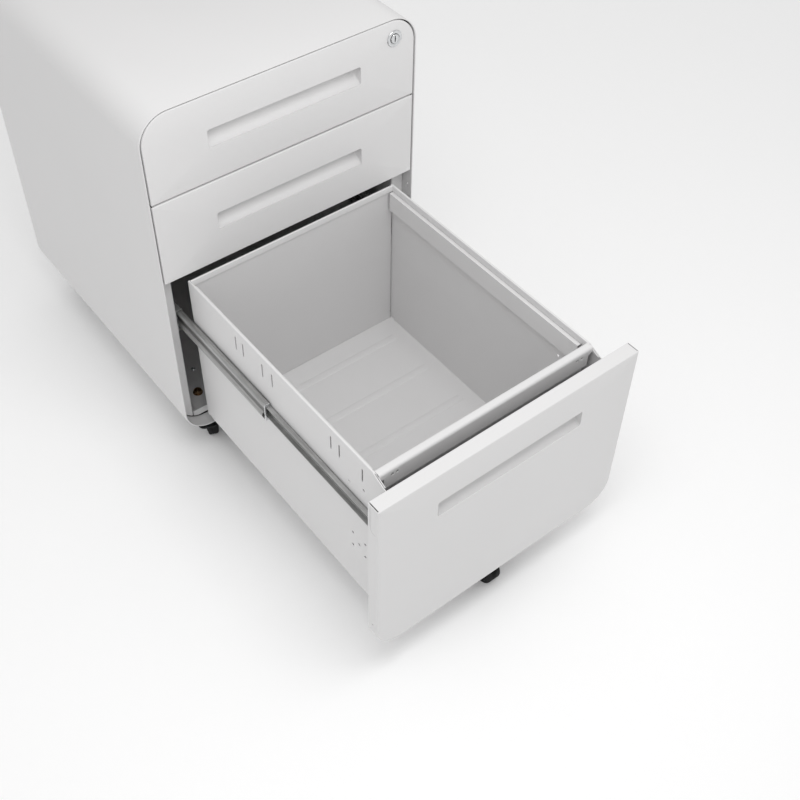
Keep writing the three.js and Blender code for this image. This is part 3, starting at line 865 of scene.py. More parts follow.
def pull_cup(drawer, sizes):
    """The recess: a flange behind the window, walls, and a floor that rises towards the back."""
    low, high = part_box(f"{drawer}_pull")
    sheet = sizes.sheet
    depths = [i / CUP_STEPS for i in range(CUP_STEPS + 1)]
    inside = [cup_ring(drawer, f, 0.0, low.y + (high.y - sheet - low.y) * f) for f in reversed(depths)]
    near = low.y + sheet
    outside = [cup_ring(drawer, f, -sheet, near + (high.y - near) * f) for f in depths]
    flange = [cup_ring(drawer, 0.0, -CUP_FLANGE, y) for y in (low.y, near)]
    cup = eased(loft(f"{drawer}_pull_cup", [*inside, *flange, *outside]), 0)
    return fitted(cup, f"{drawer}_drawer", "paint", [f"{drawer}_pull"])


def cup_ring(drawer, share, grow, y):
    """A ring of the cup at a share of its depth: its walls close in, and its floor rises."""
    low, high = pull_window(drawer)
    closing = max(0.0, (share - CUP_TURN) / (1 - CUP_TURN))
    inset = grow - PULL_LIP + CUP_ROUND * closing ** 2
    rise = CUP_RISE * share ** CUP_CURVE
    corners = (low[0] + inset, low[1] + inset + rise), (high[0] - inset, high[1] - inset)
    return [placed(p, y, "y") for p in rounded_rectangle(*corners, [PULL_ROUND - grow] * 4, 6)]


def front_liner(drawer, sizes):
    """The plate that closes the back of a front, with two rows of slots."""
    low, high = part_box(f"{drawer}_front")
    inset = sizes.sheet + GAP
    y = low.y + LINER_SETBACK
    steps = ((inset, y), (inset, y + LINER_SHEET))
    liner = loft(f"{drawer}_front_liner", rings_along_y(*flat(low, high), front_radii(drawer, sizes), steps))
    middle = (low.z + high.z) / 2
    reach = (high.z - low.z) * 0.32
    slots = []
    for level in (middle - reach, middle + reach):
        for i in LINER_SLOTS:
            slots.append((slot_outline((i * LINER_PITCH, level), 9 * MM, 2 * MM), "y", y - MM, y + 2 * MM))
    carved(liner, prisms("slots", slots))
    if drawer == "top":
        carved(liner, lock_bore(low, high))
    eased(liner, 0)
    fitted(liner, f"{drawer}_drawer", "paint")
    if drawer == "file":
        spots = [(x, z) for x in (-132 * MM, 132 * MM) for z in (low.z + 45 * MM, high.z - 62 * MM)]
        places = [facing((x, y + LINER_SHEET - 0.1 * MM, z), (0, 1, 0), 0.4) for x, z in spots]
        screws = repeated("file_front_screws", pan_screw, places)
        fitted(eased(screws, 0), "file_drawer", "zinc")


# Drawer boxes

SLOT_SETBACKS = (322, 306, 264.5, 244, 127, 111, 68.4)      # millimetres behind the front's face
SLOT_SPAN = (296 * MM, 318 * MM)
SLOT_HALF = 1.2 * MM
TOOL_HOLES = ((93, 272.5), (66, 283), (88, 180), (88, 155), (76, 168), (64, 181), (64, 156))    # and heights
TOOL_RADIUS = 2.0 * MM
END_SLOT = (422, 82.5)      # the same two measures
CHANNEL_DEPTH = 7 * MM
STEP_DROP = 9.4 * MM
WALL_SETBACK = 51 * MM
HEM_STEP = 1.9 * MM
HEM_TURN = HEM_STEP * 0.47
RIM_DEPTH = 10 * MM
RIM_LIP = 27 * MM
RIM_HOLES = 9 * MM
RIM_NOTCH = 6 * MM
BEADS = 5
BEAD_WIDTH = 12 * MM
BEAD_HEIGHT = 1.1 * MM


def tray_outline(low, high, sizes):
    sheet, hem, fold = sizes.sheet, sizes.hem, sizes.fold
    wall = high.x - sheet / 2
    inner = wall - HEM_STEP
    top, bottom = high.z - sheet / 2, low.z + sheet / 2
    half = [(inner, high.z - hem), (inner, top), (wall, top), (wall, bottom)]
    path = half + [(-x, z) for x, z in reversed(half)]
    return folded(path, [HEM_TURN, HEM_TURN, fold, fold, HEM_TURN, HEM_TURN], sheet)


def hemmed_wall(wall, step, low, high, sizes):
    """The section of a wall whose top edge is folded over by step."""
    top = high.z - sizes.sheet / 2
    path = [(wall, low.z), (wall, top), (wall + step, top), (wall + step, high.z - sizes.hem)]
    return folded(path, [HEM_TURN, HEM_TURN], sizes.sheet)


def tray(drawer, sizes):
    """Both sides and the bottom, folded from one sheet, with hems on top and beads across the bottom."""
    low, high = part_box(f"{drawer}_tray")
    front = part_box(f"{drawer}_front")[0].y
    piece = prism(f"{drawer}_box", tray_outline(low, high, sizes), "y", low.y, high.y)
    floor = low.z + sizes.sheet - 0.2 * MM
    turns = [math.pi * j / 10 for j in range(11)]
    beads = []
    for i in range(BEADS):
        y = low.y + (high.y - low.y) * (i + 0.9) / (BEADS + 0.4)
        dome = [(y + BEAD_WIDTH / 2 * math.cos(t), floor + BEAD_HEIGHT * math.sin(t)) for t in turns]
        beads.append((dome, "x", -high.x + 22 * MM, high.x - 22 * MM))
    carved(piece, prisms("beads", beads), "UNION")
    if drawer == "file":
        carved(piece, prisms("cuts", file_box_cuts(low, high, front)))
    eased(piece, 0.15 * MM)
    return fitted(piece, f"{drawer}_drawer", "paint", [f"{drawer}_tray"])


def channel_section(face, web, bottom, top, sheet):
    """A channel that opens onto the drawer's side at `face`."""
    return [
        (face, bottom), (face, bottom + sheet), (web + sheet, bottom + sheet), (web + sheet, top - sheet),
        (face, top - sheet), (face, top), (web, top), (web, bottom),
    ]


def hang_channels(sizes):
    """Channels spot-welded behind the hang slots and the tooling holes, with a near-black lining inside them:
    painted shade, seen through the slots and holes.
    """
    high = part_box("file_tray")[1]
    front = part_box("file_front")[0].y
    sheet, face = sizes.sheet, high.x - sizes.sheet - GAP
    web = face - CHANNEL_DEPTH
    places = [
        (SLOT_SPAN[0] - 4 * MM, high.z - sizes.hem - MM, front + 60 * MM, high.y - 4 * MM),
        (264 * MM, SLOT_SPAN[0] - 4.4 * MM, front + 54 * MM, front + 74 * MM),
        (148 * MM, 190 * MM, front + 54 * MM, front + 100 * MM),
    ]
    thin, clear = 0.3 * MM, sheet + 0.1 * MM
    channels, shade_linings = [], []
    for side in (-1, 1):
        for bottom, top, start, end in places:
            section = channel_section(face, web, bottom, top, sheet)
            # painted shade: a thin near-black lining just inside each channel, standing in for the shade
            # behind the slots
            shade_section = channel_section(face, web + clear, bottom + clear, top - clear, thin)
            channels.append((mirrored(section, side), "y", start, end))
            shade_linings.append((mirrored(shade_section, side), "y", start + MM, end - MM))
    fitted(eased(prisms("hang_channels", channels), 0.2 * MM), "file_drawer", "paint")
    # the linings take the dark inside finish, which paints the shade seen through the slots and holes
    fitted(eased(prisms("hang_channel_painted_shade", shade_linings), 0), "file_drawer", "inside")


def file_box_cuts(low, high, front):
    """The stepped front corners, the hang slots and the tooling holes of the file drawer's sides."""
    wall_y = front + WALL_SETBACK
    step = [
        (low.y - MM, high.z - STEP_DROP), (front + 30 * MM, high.z - STEP_DROP), (wall_y, high.z + 0.1 * MM),
        (wall_y, high.z + 5 * MM), (low.y - MM, high.z + 5 * MM),
    ]
    cuts = [(step, "x", low.x - MM, high.x + MM)]
    for start, end in ((low.x - MM, low.x + 5 * MM), (high.x - 5 * MM, high.x + MM)):
        for setback in SLOT_SETBACKS:
            y = front + setback * MM
            outline = slot_outline((y, sum(SLOT_SPAN) / 2), SLOT_HALF, (SLOT_SPAN[1] - SLOT_SPAN[0]) / 2)
            cuts.append((outline, "x", start, end))
        for setback, height in TOOL_HOLES:
            cuts.append((disc_outline((front + setback * MM, height * MM), TOOL_RADIUS, 16), "x", start, end))
        setback, height = END_SLOT
        cuts.append((slot_outline((front + setback * MM, height * MM), 3.2 * MM, 1.4 * MM), "x", start, end))
    return cuts


def back_wall(drawer, sizes):
    low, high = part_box(f"{drawer}_back_wall")
    outline = hemmed_wall(high.y - sizes.sheet / 2, -HEM_STEP, low, high, sizes)
    piece = prism(f"{drawer}_box_back", outline, "x", low.x, high.x)
    eased(piece, 0.15 * MM)
    return fitted(piece, f"{drawer}_drawer", "paint", [f"{drawer}_back_wall"])


def inner_wall(drawer, sizes):
    """The box's own front wall. The file drawer's has a rolled hanging rim and a foot."""
    low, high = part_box(f"{drawer}_inner_wall")
    sheet = sizes.sheet
    if drawer == "file":
        wall, top, foot = high.y - sheet / 2, high.z - sheet / 2, low.z + sheet / 2
        front = high.y - sheet - RIM_DEPTH + sheet / 2
        path = [(low.y, foot), (wall, foot), (wall, top), (front, top), (front, high.z - RIM_LIP)]
        outline = folded(path, [sizes.fold, 3 * MM, 3 * MM], sheet)
    else:
        outline = hemmed_wall(low.y + sheet / 2, HEM_STEP, low, high, sizes)
    piece = prism(f"{drawer}_box_front", outline, "x", low.x, high.x)
    if drawer == "file":
        holes = [
            (disc_outline((x, high.z - RIM_HOLES), TOOL_RADIUS, 16), "y", front - 2 * MM, front + 2 * MM)
            for x in (-141 * MM, -134 * MM, 134 * MM, 141 * MM)
        ]
        inner, outer, bottom = high.x - RIM_NOTCH, high.x + MM, high.z - RIM_LIP - MM
        corner = [(inner, bottom), (outer, bottom), (outer, high.z - 7 * MM), (inner, high.z - 11 * MM)]
        holes += [(mirrored(corner, side), "y", front - 3 * MM, front + 3 * MM) for side in (-1, 1)]
        carved(piece, prisms("holes", holes))
    eased(piece, 0.15 * MM)
    return fitted(piece, f"{drawer}_drawer", "paint", [f"{drawer}_inner_wall"])


# Ball-bearing slides

LIP = {"outer": 0.9 * MM, "middle": 0.7 * MM, "inner": 0.0}
LIP_BEND = 0.68 * MM
WEB_BEND = 1.1 * MM
# How deep each web is pressed, the half heights where that starts and is full, and its bends
PRESSED = {"outer": (1.0, 7.4, 6.0, 0.7), "middle": (2.4, 8.4, 6.6, 1.0), "inner": (0.9, 4.4, 3.2, 0.7)}
BALL_OUTER = (167.5 * MM, 14.95 * MM, 1.3 * MM)     # distance from the centre plane, rise and radius
BALL_INNER = (165.6 * MM, 10.62 * MM, 1.5 * MM)
CAGE_OUTER_START = 250 * MM
CAGE_INNER_START = 22 * MM
CAGE_PITCH = 9.5 * MM
CAGE_THICK = 0.8 * MM
CAGE_HALF = 2.2 * MM


def slide_outline(member, back, mouth, height, sheet):
    """A channel section with a pressed web, and but for the inner member's a small lip on each flange."""
    side = math.copysign(1, mouth - back)
    web, upper = back + side * sheet / 2, height / 2 - sheet / 2
    lip = LIP[member]
    edge, radii = [(mouth, upper)], [WEB_BEND]
    if lip:
        lip_end, lip_start = mouth - side * 1.6 * MM, mouth - side * 2.4 * MM
        edge = [(mouth, upper - lip), (lip_end, upper - lip), (lip_start, upper)]
        radii = [LIP_BEND, LIP_BEND, WEB_BEND]
    press, start, full, bend = (value * MM for value in PRESSED[member])
    floor = web + side * press
    half = [*edge, (web, upper), (web, start), (floor, full)]
    path = half + [(x, -z) for x, z in reversed(half)]
    return folded(path, [*radii, bend, bend, bend, bend, *reversed(radii)], sheet)


def slide_member(drawer, member, label, side, sizes):
    node = f"{drawer}_{member}_slide_{label}"
    low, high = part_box(node)
    near, far = sorted((abs(low.x), abs(high.x)))
    back, mouth = (near, far) if member == "inner" else (far, near)
    centre, height = (low.z + high.z) / 2, high.z - low.z
    outline = slide_outline(member, back, mouth, height, sizes.sheet)
    outline = mirrored([(x, z + centre) for x, z in outline], side)
    piece = prism(f"{node}_rail", outline, "y", low.y, high.y)
    if member == "middle":
        window = block_outline((low.y + 1.6 * MM, centre - 12.2 * MM), (low.y + 7 * MM, centre - 6.4 * MM))
        start, end = sorted((side * (near - MM), side * (far + MM)))
        carved(piece, prism("window", window, "x", start, end))
    eased(piece, 0 if member == "middle" else 0.12 * MM)
    body = {
        "outer": "cabinet", "middle": f"{drawer}_middle_slide_{label}", "inner": f"{drawer}_drawer",
    }[member]
    return fitted(piece, body, f"{drawer}_steel", [node])


def ball_cages(drawer, label, side, sizes):
    """Four rows of balls in their cages, which go with the middle member."""
    low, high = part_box(f"{drawer}_middle_slide_{label}")
    centre = (low.z + high.z) / 2
    strips, balls = [], []
    for (x, rise, radius), start in ((BALL_OUTER, CAGE_OUTER_START), (BALL_INNER, CAGE_INNER_START)):
        length = CAGE_PITCH * (sizes.cage_balls + 0.4)
        for up in (-1, 1):
            x_centre, z = side * x, centre + up * rise
            below, above = z - CAGE_THICK / 2, z + CAGE_THICK / 2
            outline = block_outline((x_centre - CAGE_HALF, below), (x_centre + CAGE_HALF, above))
            strips.append((outline, "y", low.y + start, low.y + start + length))
            for i in range(sizes.cage_balls):
                place = Vector((x_centre, low.y + start + CAGE_PITCH * (i + 0.7), z))
                balls.append(Matrix.Translation(place) @ Matrix.Scale(radius, 4))
    cage = eased(prisms(f"{drawer}_cages_{label}", strips), 0.2 * MM)
    body = f"{drawer}_middle_slide_{label}"
    fitted(cage, body, "zinc")
    steel_balls = repeated(f"{drawer}_balls_{label}", unit_ball, balls)
    fitted(eased(steel_balls, 0), body, "chrome")


def unit_ball():
    bm = bmesh.new()
    bmesh.ops.create_icosphere(bm, subdivisions=3, radius=1.0)
    return new_piece("ball", bm)


def slide_ends(drawer, label, side, sizes):
    """The stop on the middle member's front end, and the screws that hold the outer member."""
    low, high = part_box(f"{drawer}_middle_slide_{label}")
    inner_low, inner_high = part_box(f"{drawer}_inner_slide_{label}")
    near, far = sorted((abs(low.x), abs(high.x)))
    room = max(abs(inner_low.x), abs(inner_high.x)) + 0.4 * MM
    below, above = inner_low.z - 0.5 * MM, inner_high.z + 0.5 * MM
    stop = [
        (near, low.z), (far, low.z), (far, high.z), (near, high.z), (near, above), (room, above),
        (room, below), (near, below),
    ]
    body = f"{drawer}_middle_slide_{label}"
    cap = prism(f"{drawer}_slide_stop_{label}", mirrored(stop, side), "y", low.y - 1.4 * MM, low.y + 0.2 * MM)
    fitted(eased(cap, 0.3 * MM), body, "chrome")
    low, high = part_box(f"{drawer}_outer_slide_{label}")
    centre = (low.z + high.z) / 2
    web = max(abs(low.x), abs(high.x)) - sizes.sheet
    places = [
        facing((side * (web - 0.95 * MM), y, centre), (-side, 0, 0), 0.5)
        for y in (low.y + 14 * MM, low.y + 190 * MM, high.y - 16 * MM)
    ]
    screws = repeated(f"{drawer}_slide_screws_{label}", lambda: pan_screw(3.4 * MM, 0.8 * MM), places)
    fitted(eased(screws, 0), "cabinet", "zinc")


# Lock

BARREL_BODY = 9 * MM
BARREL_BORE = 6.5 * MM
BARREL_DOME = 1.1 * MM
PLUG_RADIUS = 6 * MM
CAM_HALF = 5 * MM


def lock_parts():
    """The lock's collar and its core with keyway and cam, and the finish of the bar it lifts."""
    low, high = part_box("lock_barrel")
    x, z = (low.x + high.x) / 2, (low.z + high.z) / 2
    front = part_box("top_front")[0].y
    end = high.y
    ring = (high.x - low.x) / 2
    dome = arc((ring - BARREL_DOME, front - 0.4 * MM), BARREL_DOME, 0, -QUARTER, 5)
    profile = [
        (BARREL_BORE, end), (BARREL_BODY, end), (BARREL_BODY, front - GAP), (ring, front - GAP), *dome,
        (BARREL_BORE + 0.9 * MM, low.y), (BARREL_BORE, low.y + 0.6 * MM),
    ]
    barrel = lathe("lock_collar", profile, (0, 1, 0), (x, 0, z), 72)
    eased(barrel, 0.1 * MM)
    fitted(barrel, "top_drawer", "chrome", ["lock_barrel"])
    plug_low, plug_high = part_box("lock_plug")
    core = [
        (0, plug_low.y), (PLUG_RADIUS - 0.7 * MM, plug_low.y), (PLUG_RADIUS, plug_low.y + 0.6 * MM),
        (PLUG_RADIUS, plug_high.y), (0, plug_high.y),
    ]
    plug = lathe("lock_core", core, (0, 1, 0), (x, 0, z), 60)
    keyway = [(-0.7, -4), (0.7, -4), (0.7, -1), (1.5, -0.3), (0.7, 0.6), (0.7, 4), (-0.7, 4)]
    keyway = [(x + a * MM, z + b * MM) for a, b in keyway]
    carved(plug, prism("keyway", keyway, "y", plug_low.y - MM, plug_low.y + 8 * MM))
    cam_end = x + CAM_HALF
    cam = slot_outline(((plug_low.x + cam_end) / 2, z), (cam_end - plug_low.x) / 2, CAM_HALF)
    carved(plug, prism("cam", cam, "y", plug_high.y - 2 * MM, plug_high.y), "UNION")
    eased(plug, 0.12 * MM)
    fitted(plug, "lock_plug", "chrome", ["lock_plug"])
    kept("lock_bar", "zinc")


# Casters and the fifth wheel

def wheel(name, body, node, centre, axle, half, grooves):
    """A wheel with a tread band, a hub set back inside it and moulded rings."""
    radius = centre[2]
    side = [
        (3.4, 0), (6.0, 0), (6.4, 0.5), (6.4, 1.0), (12.6, 1.6), (13.2, 0.9), (14.2, 0.9), (14.8, 1.7),
        (17.0, 1.7), (18.4, 1.9), (19.4, 2.6), (radius / MM, 4.2),
    ]
    outline = [(r * MM, (half - setback) * MM) for r, setback in side]
    crown = []
    for groove in grooves:
        for across, deep in ((0.5, 0), (0.25, 0.5), (-0.25, 0.5), (-0.5, 0)):
            crown.append((radius - deep * MM, (groove + across) * MM))
    profile = outline + crown + [(r, -a) for r, a in reversed(outline)]
    piece = lathe(name, profile, axle, centre, 72)
    eased(piece, 0.12 * MM)
    fitted(piece, body, "tread", [node])


def caster_place(corner):
    """The matrix that sets what is drawn about a swivel line, facing -Y, in its caster's place."""
    swivel = JOINTS[f"swivel_{corner}"]["pos_m"]
    axle = Vector(JOINTS[f"roll_{corner}"]["axis"])
    turn = math.atan2(axle.y, axle.x)
    return Matrix.Translation((swivel[0], swivel[1], 0)) @ Matrix.Rotation(turn, 4, "Z")


def seated(piece, place):
    piece.data.transform(place)
    return piece


WHEEL_HALF = 9 * MM
ARM_NEAR = 10.3 * MM
ARM_FAR = 12.3 * MM
AXLE_Y = -18 * MM
AXLE_Z = 20 * MM
TOE_HALF = 21 * MM
TOE_FRONT = -50 * MM
TOE_BACK = -36 * MM
CROWN_TOP = 46.2 * MM
FORK_FRONT = -33 * MM
PEDAL_PIN = (-30 * MM, 42 * MM)     # along Y and Z


def arm_outline():
    """A fork arm's side: wide at the crown, tapering to a round end at the axle."""
    path = [(10 * MM, CROWN_TOP), (10 * MM, 43 * MM), (AXLE_Y + 8.5 * MM, AXLE_Z + 4 * MM)]
    end = arc((AXLE_Y, AXLE_Z), 8 * MM, math.radians(10), math.radians(-190), 14)
    return path + end + [(FORK_FRONT, 41 * MM), (FORK_FRONT, CROWN_TOP)]


def caster_fork(corner):
    """Two arms under a bridge and a crown, with the axle, and in front the brake pedal's pin."""
    place = caster_place(corner)
    arms = [(arm_outline(), "x", *span) for span in ((ARM_NEAR, ARM_FAR), (-ARM_FAR, -ARM_NEAR))]
    fork = prisms(f"fork_{corner}", arms)
    corners = [3 * MM, 3 * MM, 7 * MM, 7 * MM]
    bridge = rounded_rectangle((-ARM_FAR, FORK_FRONT), (ARM_FAR, 12 * MM), corners, 6)
    carved(fork, prism("bridge", bridge, "z", 44 * MM, CROWN_TOP), "UNION")
    crown = [(0, 45 * MM), (14 * MM, 45 * MM), (14 * MM, 48.6 * MM), (12.6 * MM, 50.3 * MM), (0, 50.3 * MM)]
    carved(fork, lathe("crown", crown, UP, ORIGIN, 48), "UNION")
    axle = rod_profile(2.8 * MM, -ARM_FAR, ARM_FAR)
    carved(fork, lathe("axle", axle, (1, 0, 0), (0, AXLE_Y, AXLE_Z), 32), "UNION")
    if corner.startswith("front"):
        pin = rod_profile(1.5 * MM, -ARM_FAR, ARM_FAR)
        carved(fork, lathe("pin", pin, (1, 0, 0), (0, *PEDAL_PIN), 24), "UNION")
    seated(eased(fork, 0.35 * MM), place)
    body = f"caster_fork_{corner}"
    fitted(fork, body, "plastic", [body])
    ends = [place @ facing((side * ARM_FAR, AXLE_Y, AXLE_Z), (side, 0, 0)) for side in (-1, 1)]
    nuts = repeated(f"axle_nuts_{corner}", lambda: hex_nut(8 * MM, 3.2 * MM, 1.8 * MM), ends)
    fitted(eased(nuts, 0.1 * MM), body, "zinc")


def caster_plate(corner):
    """The top plate with its rounded corners, ball race and four screws."""
    swivel = JOINTS[f"swivel_{corner}"]["pos_m"]
    low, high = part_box(f"caster_plate_{corner}")
    top, bottom = high.z, high.z - 2.4 * MM
    outline = rounded_rectangle((low.x, low.y), (high.x, high.y), [4 * MM] * 4, 6)
    plate = prism(f"top_plate_{corner}", outline, "z", bottom, top)
    race = [
        (0, bottom + MM), (0, low.z), (12.2 * MM, low.z), (12.8 * MM, low.z + 1.4 * MM),
        (15 * MM, low.z + 2.0 * MM), (15 * MM, bottom - 1.4 * MM),
        (13.6 * MM, bottom), (13.6 * MM, bottom + MM),
    ]
    carved(plate, lathe("race", race, UP, (swivel[0], swivel[1], 0), 56), "UNION")
    eased(plate, 0.25 * MM)
    fitted(plate, "cabinet", "plastic", [f"caster_plate_{corner}"])
    inset = 3.2 * MM
    spots = [(x, y) for x in (low.x + inset, high.x - inset) for y in (low.y + inset, high.y - inset)]
    places = [facing((x, y, bottom + 0.1 * MM), (0, 0, -1), 0.6) for x, y in spots]
    screws = repeated(f"plate_screws_{corner}", lambda: pan_screw(2.6 * MM, 1.4 * MM), places)
    fitted(eased(screws, 0), "cabinet", "zinc")


def brake_pedal(label):
    """A front caster's rocker, with grip ribs across it and a wide toe."""
    corner = f"front_{label}"
    section = [
        (-26.6, 39.6), (-33, 38.6), (-44.5, 38.6), (-45.5, 39.6), (-45.5, 41.6), (-44.6, 42.4), (-37, 45.2),
        (-26.6, 44.4),
    ]
    outline = [(a * MM, b * MM) for a, b in section]
    pedal = prism(f"pedal_{label}", outline, "x", -WHEEL_HALF, WHEEL_HALF)
    bore = disc_outline(PEDAL_PIN, 2 * MM, 24)
    carved(pedal, prism("bore", bore, "x", -ARM_FAR, ARM_FAR))
    ribs = []
    for i in range(4):
        y, z = (-43.8 + 1.9 * i) * MM, (42.4 + 0.7 * i) * MM
        rib = block_outline((y, z - 1.5 * MM), (y + 0.8 * MM, z + 0.45 * MM))
        ribs.append((rib, "x", -7.5 * MM, 7.5 * MM))
    carved(pedal, prisms("ribs", ribs), "UNION")
    toe = rounded_rectangle((-TOE_HALF, TOE_FRONT), (TOE_HALF, TOE_BACK), [9 * MM, 9 * MM, 3 * MM, 3 * MM], 6)
    carved(pedal, prism("toe", toe, "z", 41.6 * MM, 44.0 * MM), "UNION")
    seated(eased(pedal, 0.3 * MM), caster_place(corner))
    fitted(pedal, f"brake_pedal_{label}", "plastic", [f"brake_pedal_{label}"])


# Operators

class Builder:
    """What the building operators share."""

    bl_options = {"REGISTER"}

    @classmethod
    def poll(cls, context):
        return context.scene is not None

    def execute(self, context):
        if not FINISHES:
            raise RuntimeError("make the finishes before the pieces")
        self.build(context.scene.cabinet_sizes)
        return {"FINISHED"}


class CABINET_OT_finishes(bpy.types.Operator):
    """Makes the cabinet's paints, metals and plastics"""

    bl_idname = "cabinet.finishes"
    bl_label = "Finishes"

    def execute(self, context):
        colours = context.scene.cabinet_colours
        FINISHES["paint"] = powder_coat("White powder coat", colours.paint)
        FINISHES["casing_paint"] = powder_coat("Casing powder coat", colours.paint)
        # painted shade: the inside finish is a near-black coat on the channel linings, standing in for the
        # shade behind the hang slots
        FINISHES["inside"] = powder_coat("Painted shade coat", colours.inside, 0.04)
        for drawer in DRAWERS:
            name = f"Slide steel, {drawer} drawer"
            FINISHES[f"{drawer}_steel"] = plated_steel(name, colours.steel, slide_height(drawer))
        FINISHES["zinc"] = galvanised("Galvanised zinc", colours.zinc)
        FINISHES["chrome"] = polished("Bright plate", colours.chrome)
        FINISHES["brass"] = polished("Yellow passivate", colours.brass, (0.22, 0.4))
        FINISHES["plastic"] = moulded("Black plastic", colours.plastic)
        FINISHES["tread"] = rubber("Caster tread", colours.tread)
        FINISHES["floor"] = pale_floor("Pale floor", colours.floor)
        return {"FINISHED"}


class CABINET_OT_casing(Builder, bpy.types.Operator):
    """Builds the casing, its back cover, posts and rails"""

    bl_idname = "cabinet.casing"
    bl_label = "Casing"

    def build(self, sizes):
        casing_wrap(sizes)
        back_cover(sizes)
        for label, _ in SIDES:
            front = post(f"front_post_{label}", sizes, 1)
            fitted(front, "cabinet", "paint", [f"front_post_{label}"])
            rear = post(f"rear_post_{label}", sizes, -1)
            fitted(rear, "cabinet", "zinc", [f"rear_post_{label}"])
        bottom_rail(sizes)
        # painted shade in the floor seam
        painted_seam_shade(sizes)
        kept("top_rail", "paint")
        casing_inserts(sizes)


class CABINET_OT_fronts(Builder, bpy.types.Operator):
    """Builds the drawer fronts, their pulls and their liners"""

    bl_idname = "cabinet.fronts"
    bl_label = "Drawer fronts"

    def build(self, sizes):
        for drawer in DRAWERS:
            front_pan(drawer, sizes)
            pull_cup(drawer, sizes)
            front_liner(drawer, sizes)


class CABINET_OT_boxes(Builder, bpy.types.Operator):
    """Builds the drawer boxes"""

    bl_idname = "cabinet.boxes"
    bl_label = "Drawer boxes"

    def build(self, sizes):
        for drawer in DRAWERS:
            tray(drawer, sizes)
            back_wall(drawer, sizes)
            inner_wall(drawer, sizes)
        hang_channels(sizes)


class CABINET_OT_slides(Builder, bpy.types.Operator):
    """Builds the ball-bearing slides with their balls, cages, stops and screws"""

    bl_idname = "cabinet.slides"
    bl_label = "Slides"

    def build(self, sizes):
        for drawer in DRAWERS:
            for label, side in SIDES:
                for member in ("outer", "middle", "inner"):
                    slide_member(drawer, member, label, side, sizes)
                ball_cages(drawer, label, side, sizes)
                slide_ends(drawer, label, side, sizes)


class CABINET_OT_lock(Builder, bpy.types.Operator):
    """Builds the lock and finishes its bar"""

    bl_idname = "cabinet.lock"
    bl_label = "Lock"

    def build(self, sizes):
        lock_parts()


class CABINET_OT_casters(Builder, bpy.types.Operator):
    """Builds the casters, their brakes and the fifth wheel"""

    bl_idname = "cabinet.casters"
    bl_label = "Casters"

    def build(self, sizes):
        half = WHEEL_HALF / MM
        for corner in CORNERS:
            caster_plate(corner)
            caster_fork(corner)
            roll = JOINTS[f"roll_{corner}"]
            node = f"caster_wheel_{corner}"
            wheel(f"wheel_{corner}", node, node, roll["pos_m"], roll["axis"], half, (0.0,))
        for label, _ in SIDES:
            brake_pedal(label)
        roll = JOINTS["fifth_wheel_roll"]
        wheel("fifth_wheel_tyre", "fifth_wheel", "fifth_wheel", roll["pos_m"], roll["axis"], 12, (-3.0, 3.0))
        kept("fifth_wheel_bracket", "plastic", 0.4 * MM)


class CABINET_OT_stage(bpy.types.Operator):
    """Sets the floor, the lights and the camera"""

    bl_idname = "cabinet.stage"
    bl_label = "Stage"

    def execute(self, context):
        stage = context.scene.cabinet_stage
        lay_floor()
        hang_lights(stage)
        set_camera(stage)
        return {"FINISHED"}


class CabinetStage(bpy.types.PropertyGroup):
    """The camera and the lights."""

    camera_place: FloatVectorProperty(
        name="Camera place", description="Where the camera stands", subtype="TRANSLATION", unit="LENGTH",
        size=3, default=(-0.6244, -1.0, 1.3077),
    )
    yaw: FloatProperty(
        name="Yaw", description="The camera's heading, turned from +Y towards +X", unit="ROTATION",
        default=math.radians(38.141),
    )
    pitch: FloatProperty(
        name="Pitch", description="The camera's tilt, negative when it looks down", unit="ROTATION",
        default=math.radians(-46.364),
    )
    roll: FloatProperty(
        name="Roll", description="The camera's turn about its own view", unit="ROTATION",
        default=math.radians(0.617),
    )
    lens: FloatProperty(name="Lens", description="Length in millimetres", default=52.323, min=10, max=200)
    shift_x: FloatProperty(name="Shift across", description="Lens shift across the view", default=0.01844)
    shift_y: FloatProperty(name="Shift up", description="Lens shift up the view", default=-0.04998)
    sky: FloatProperty(name="Sky", description="Strength of the even light all round", default=0.77, min=0)
    key: FloatProperty(
        name="Key", description="Power of the large light above", default=6.0, min=0, unit="POWER",
    )
    fill: FloatProperty(
        name="Fill", description="Power of the light in front", default=1.5, min=0, unit="POWER",
    )


FLOOR_HALF = 6.0
KEY_LIGHT = ((-0.15, -0.6, 1.35), (0, -0.05, 0.35), (0.9, 0.5))     # place, target and size
FILL_LIGHT = ((-1.7, -2.1, 1.5), (0, -0.1, 0.35), (2.0, 1.6))


def lay_floor():
    outline = block_outline((-FLOOR_HALF, -FLOOR_HALF), (FLOOR_HALF, FLOOR_HALF))
    floor = prism("floor", outline, "z", -0.02, 0.0)
    floor.data.materials.append(FINISHES["floor"])


def area_light(name, place, target, size, power):
    lamp = bpy.data.lights.new(name, "AREA")
    lamp.shape = "RECTANGLE"
    lamp.size, lamp.size_y = size
    lamp.energy = power
    holder = bpy.data.objects.new(name, lamp)
    bpy.context.scene.collection.objects.link(holder)
    holder.location = place
    holder.rotation_euler = (Vector(target) - Vector(place)).to_track_quat("-Z", "Y").to_euler()


def hang_lights(stage):
    scene = bpy.context.scene
    scene.view_settings.view_transform = "Standard"
    world = bpy.data.worlds.new("Even light")
    world.use_nodes = True
    background = world.node_tree.nodes["Background"]
    background.inputs["Color"].default_value = (1, 1, 1, 1)
    background.inputs["Strength"].default_value = stage.sky
    scene.world = world
    area_light("key", *KEY_LIGHT, stage.key)
    area_light("fill", *FILL_LIGHT, stage.fill)


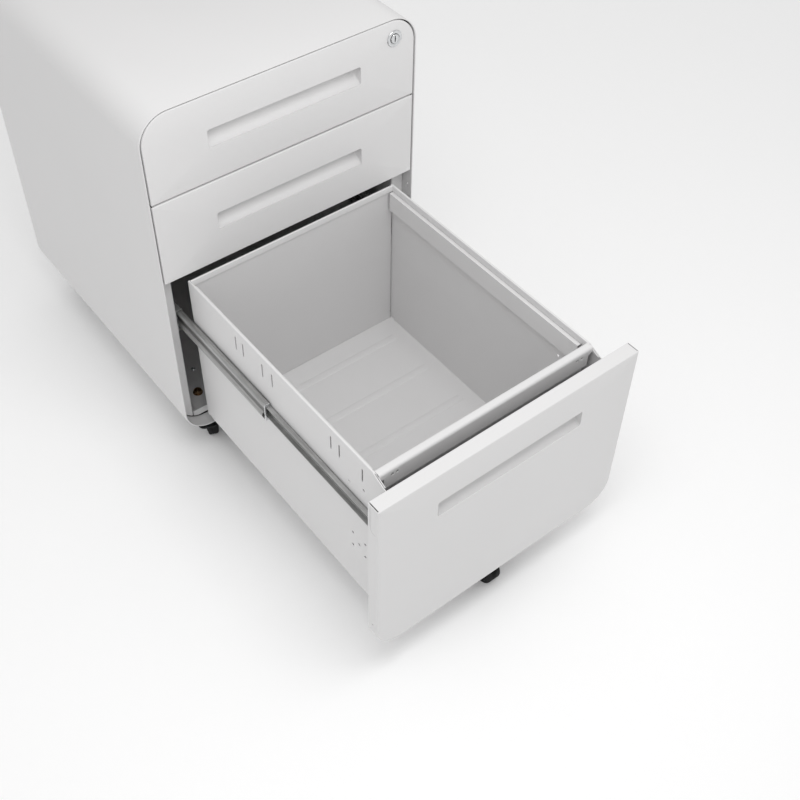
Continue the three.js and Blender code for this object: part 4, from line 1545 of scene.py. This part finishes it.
def set_camera(stage):
    lens = bpy.data.cameras.new("camera")
    lens.lens = stage.lens
    lens.shift_x, lens.shift_y = stage.shift_x, stage.shift_y
    lens.clip_start, lens.clip_end = 0.05, 50
    camera = bpy.data.objects.new("camera", lens)
    bpy.context.scene.collection.objects.link(camera)
    heading = Matrix.Rotation(-stage.yaw, 4, "Z") @ Matrix.Rotation(QUARTER + stage.pitch, 4, "X")
    turn = heading @ Matrix.Rotation(stage.roll, 4, "Z")
    camera.matrix_world = Matrix.Translation(stage.camera_place) @ turn
    bpy.context.scene.camera = camera


class CABINET_PT_sidebar(bpy.types.Panel):
    """Lists the cabinet's sizes, colours and building steps."""

    bl_idname = "CABINET_PT_sidebar"
    bl_label = "Filing cabinet"
    bl_space_type = "VIEW_3D"
    bl_region_type = "UI"
    bl_category = "Cabinet"

    def draw(self, context):
        layout = self.layout
        scene = context.scene
        for group in (scene.cabinet_sizes, scene.cabinet_colours, scene.cabinet_stage):
            column = layout.column(align=True)
            for name in group.__annotations__:
                column.prop(group, name)
        for step in STEPS:
            layout.operator(step.bl_idname)


GROUPS = (CabinetColours, CabinetSizes, CabinetStage)
STEPS = (
    CABINET_OT_finishes, CABINET_OT_casing, CABINET_OT_fronts, CABINET_OT_boxes, CABINET_OT_slides,
    CABINET_OT_lock, CABINET_OT_casters, CABINET_OT_stage,
)


def register():
    for item in (*GROUPS, *STEPS, CABINET_PT_sidebar):
        bpy.utils.register_class(item)
    bpy.types.Scene.cabinet_colours = PointerProperty(type=CabinetColours)
    bpy.types.Scene.cabinet_sizes = PointerProperty(type=CabinetSizes)
    bpy.types.Scene.cabinet_stage = PointerProperty(type=CabinetStage)


def unregister():
    del bpy.types.Scene.cabinet_stage
    del bpy.types.Scene.cabinet_sizes
    del bpy.types.Scene.cabinet_colours
    for item in reversed((*GROUPS, *STEPS, CABINET_PT_sidebar)):
        bpy.utils.unregister_class(item)


def main():
    register()
    bpy.ops.cabinet.finishes()
    bpy.ops.cabinet.casing()
    bpy.ops.cabinet.fronts()
    bpy.ops.cabinet.boxes()
    bpy.ops.cabinet.slides()
    bpy.ops.cabinet.lock()
    bpy.ops.cabinet.casters()
    bpy.ops.cabinet.stage()


if __name__ == "__main__":
    main()
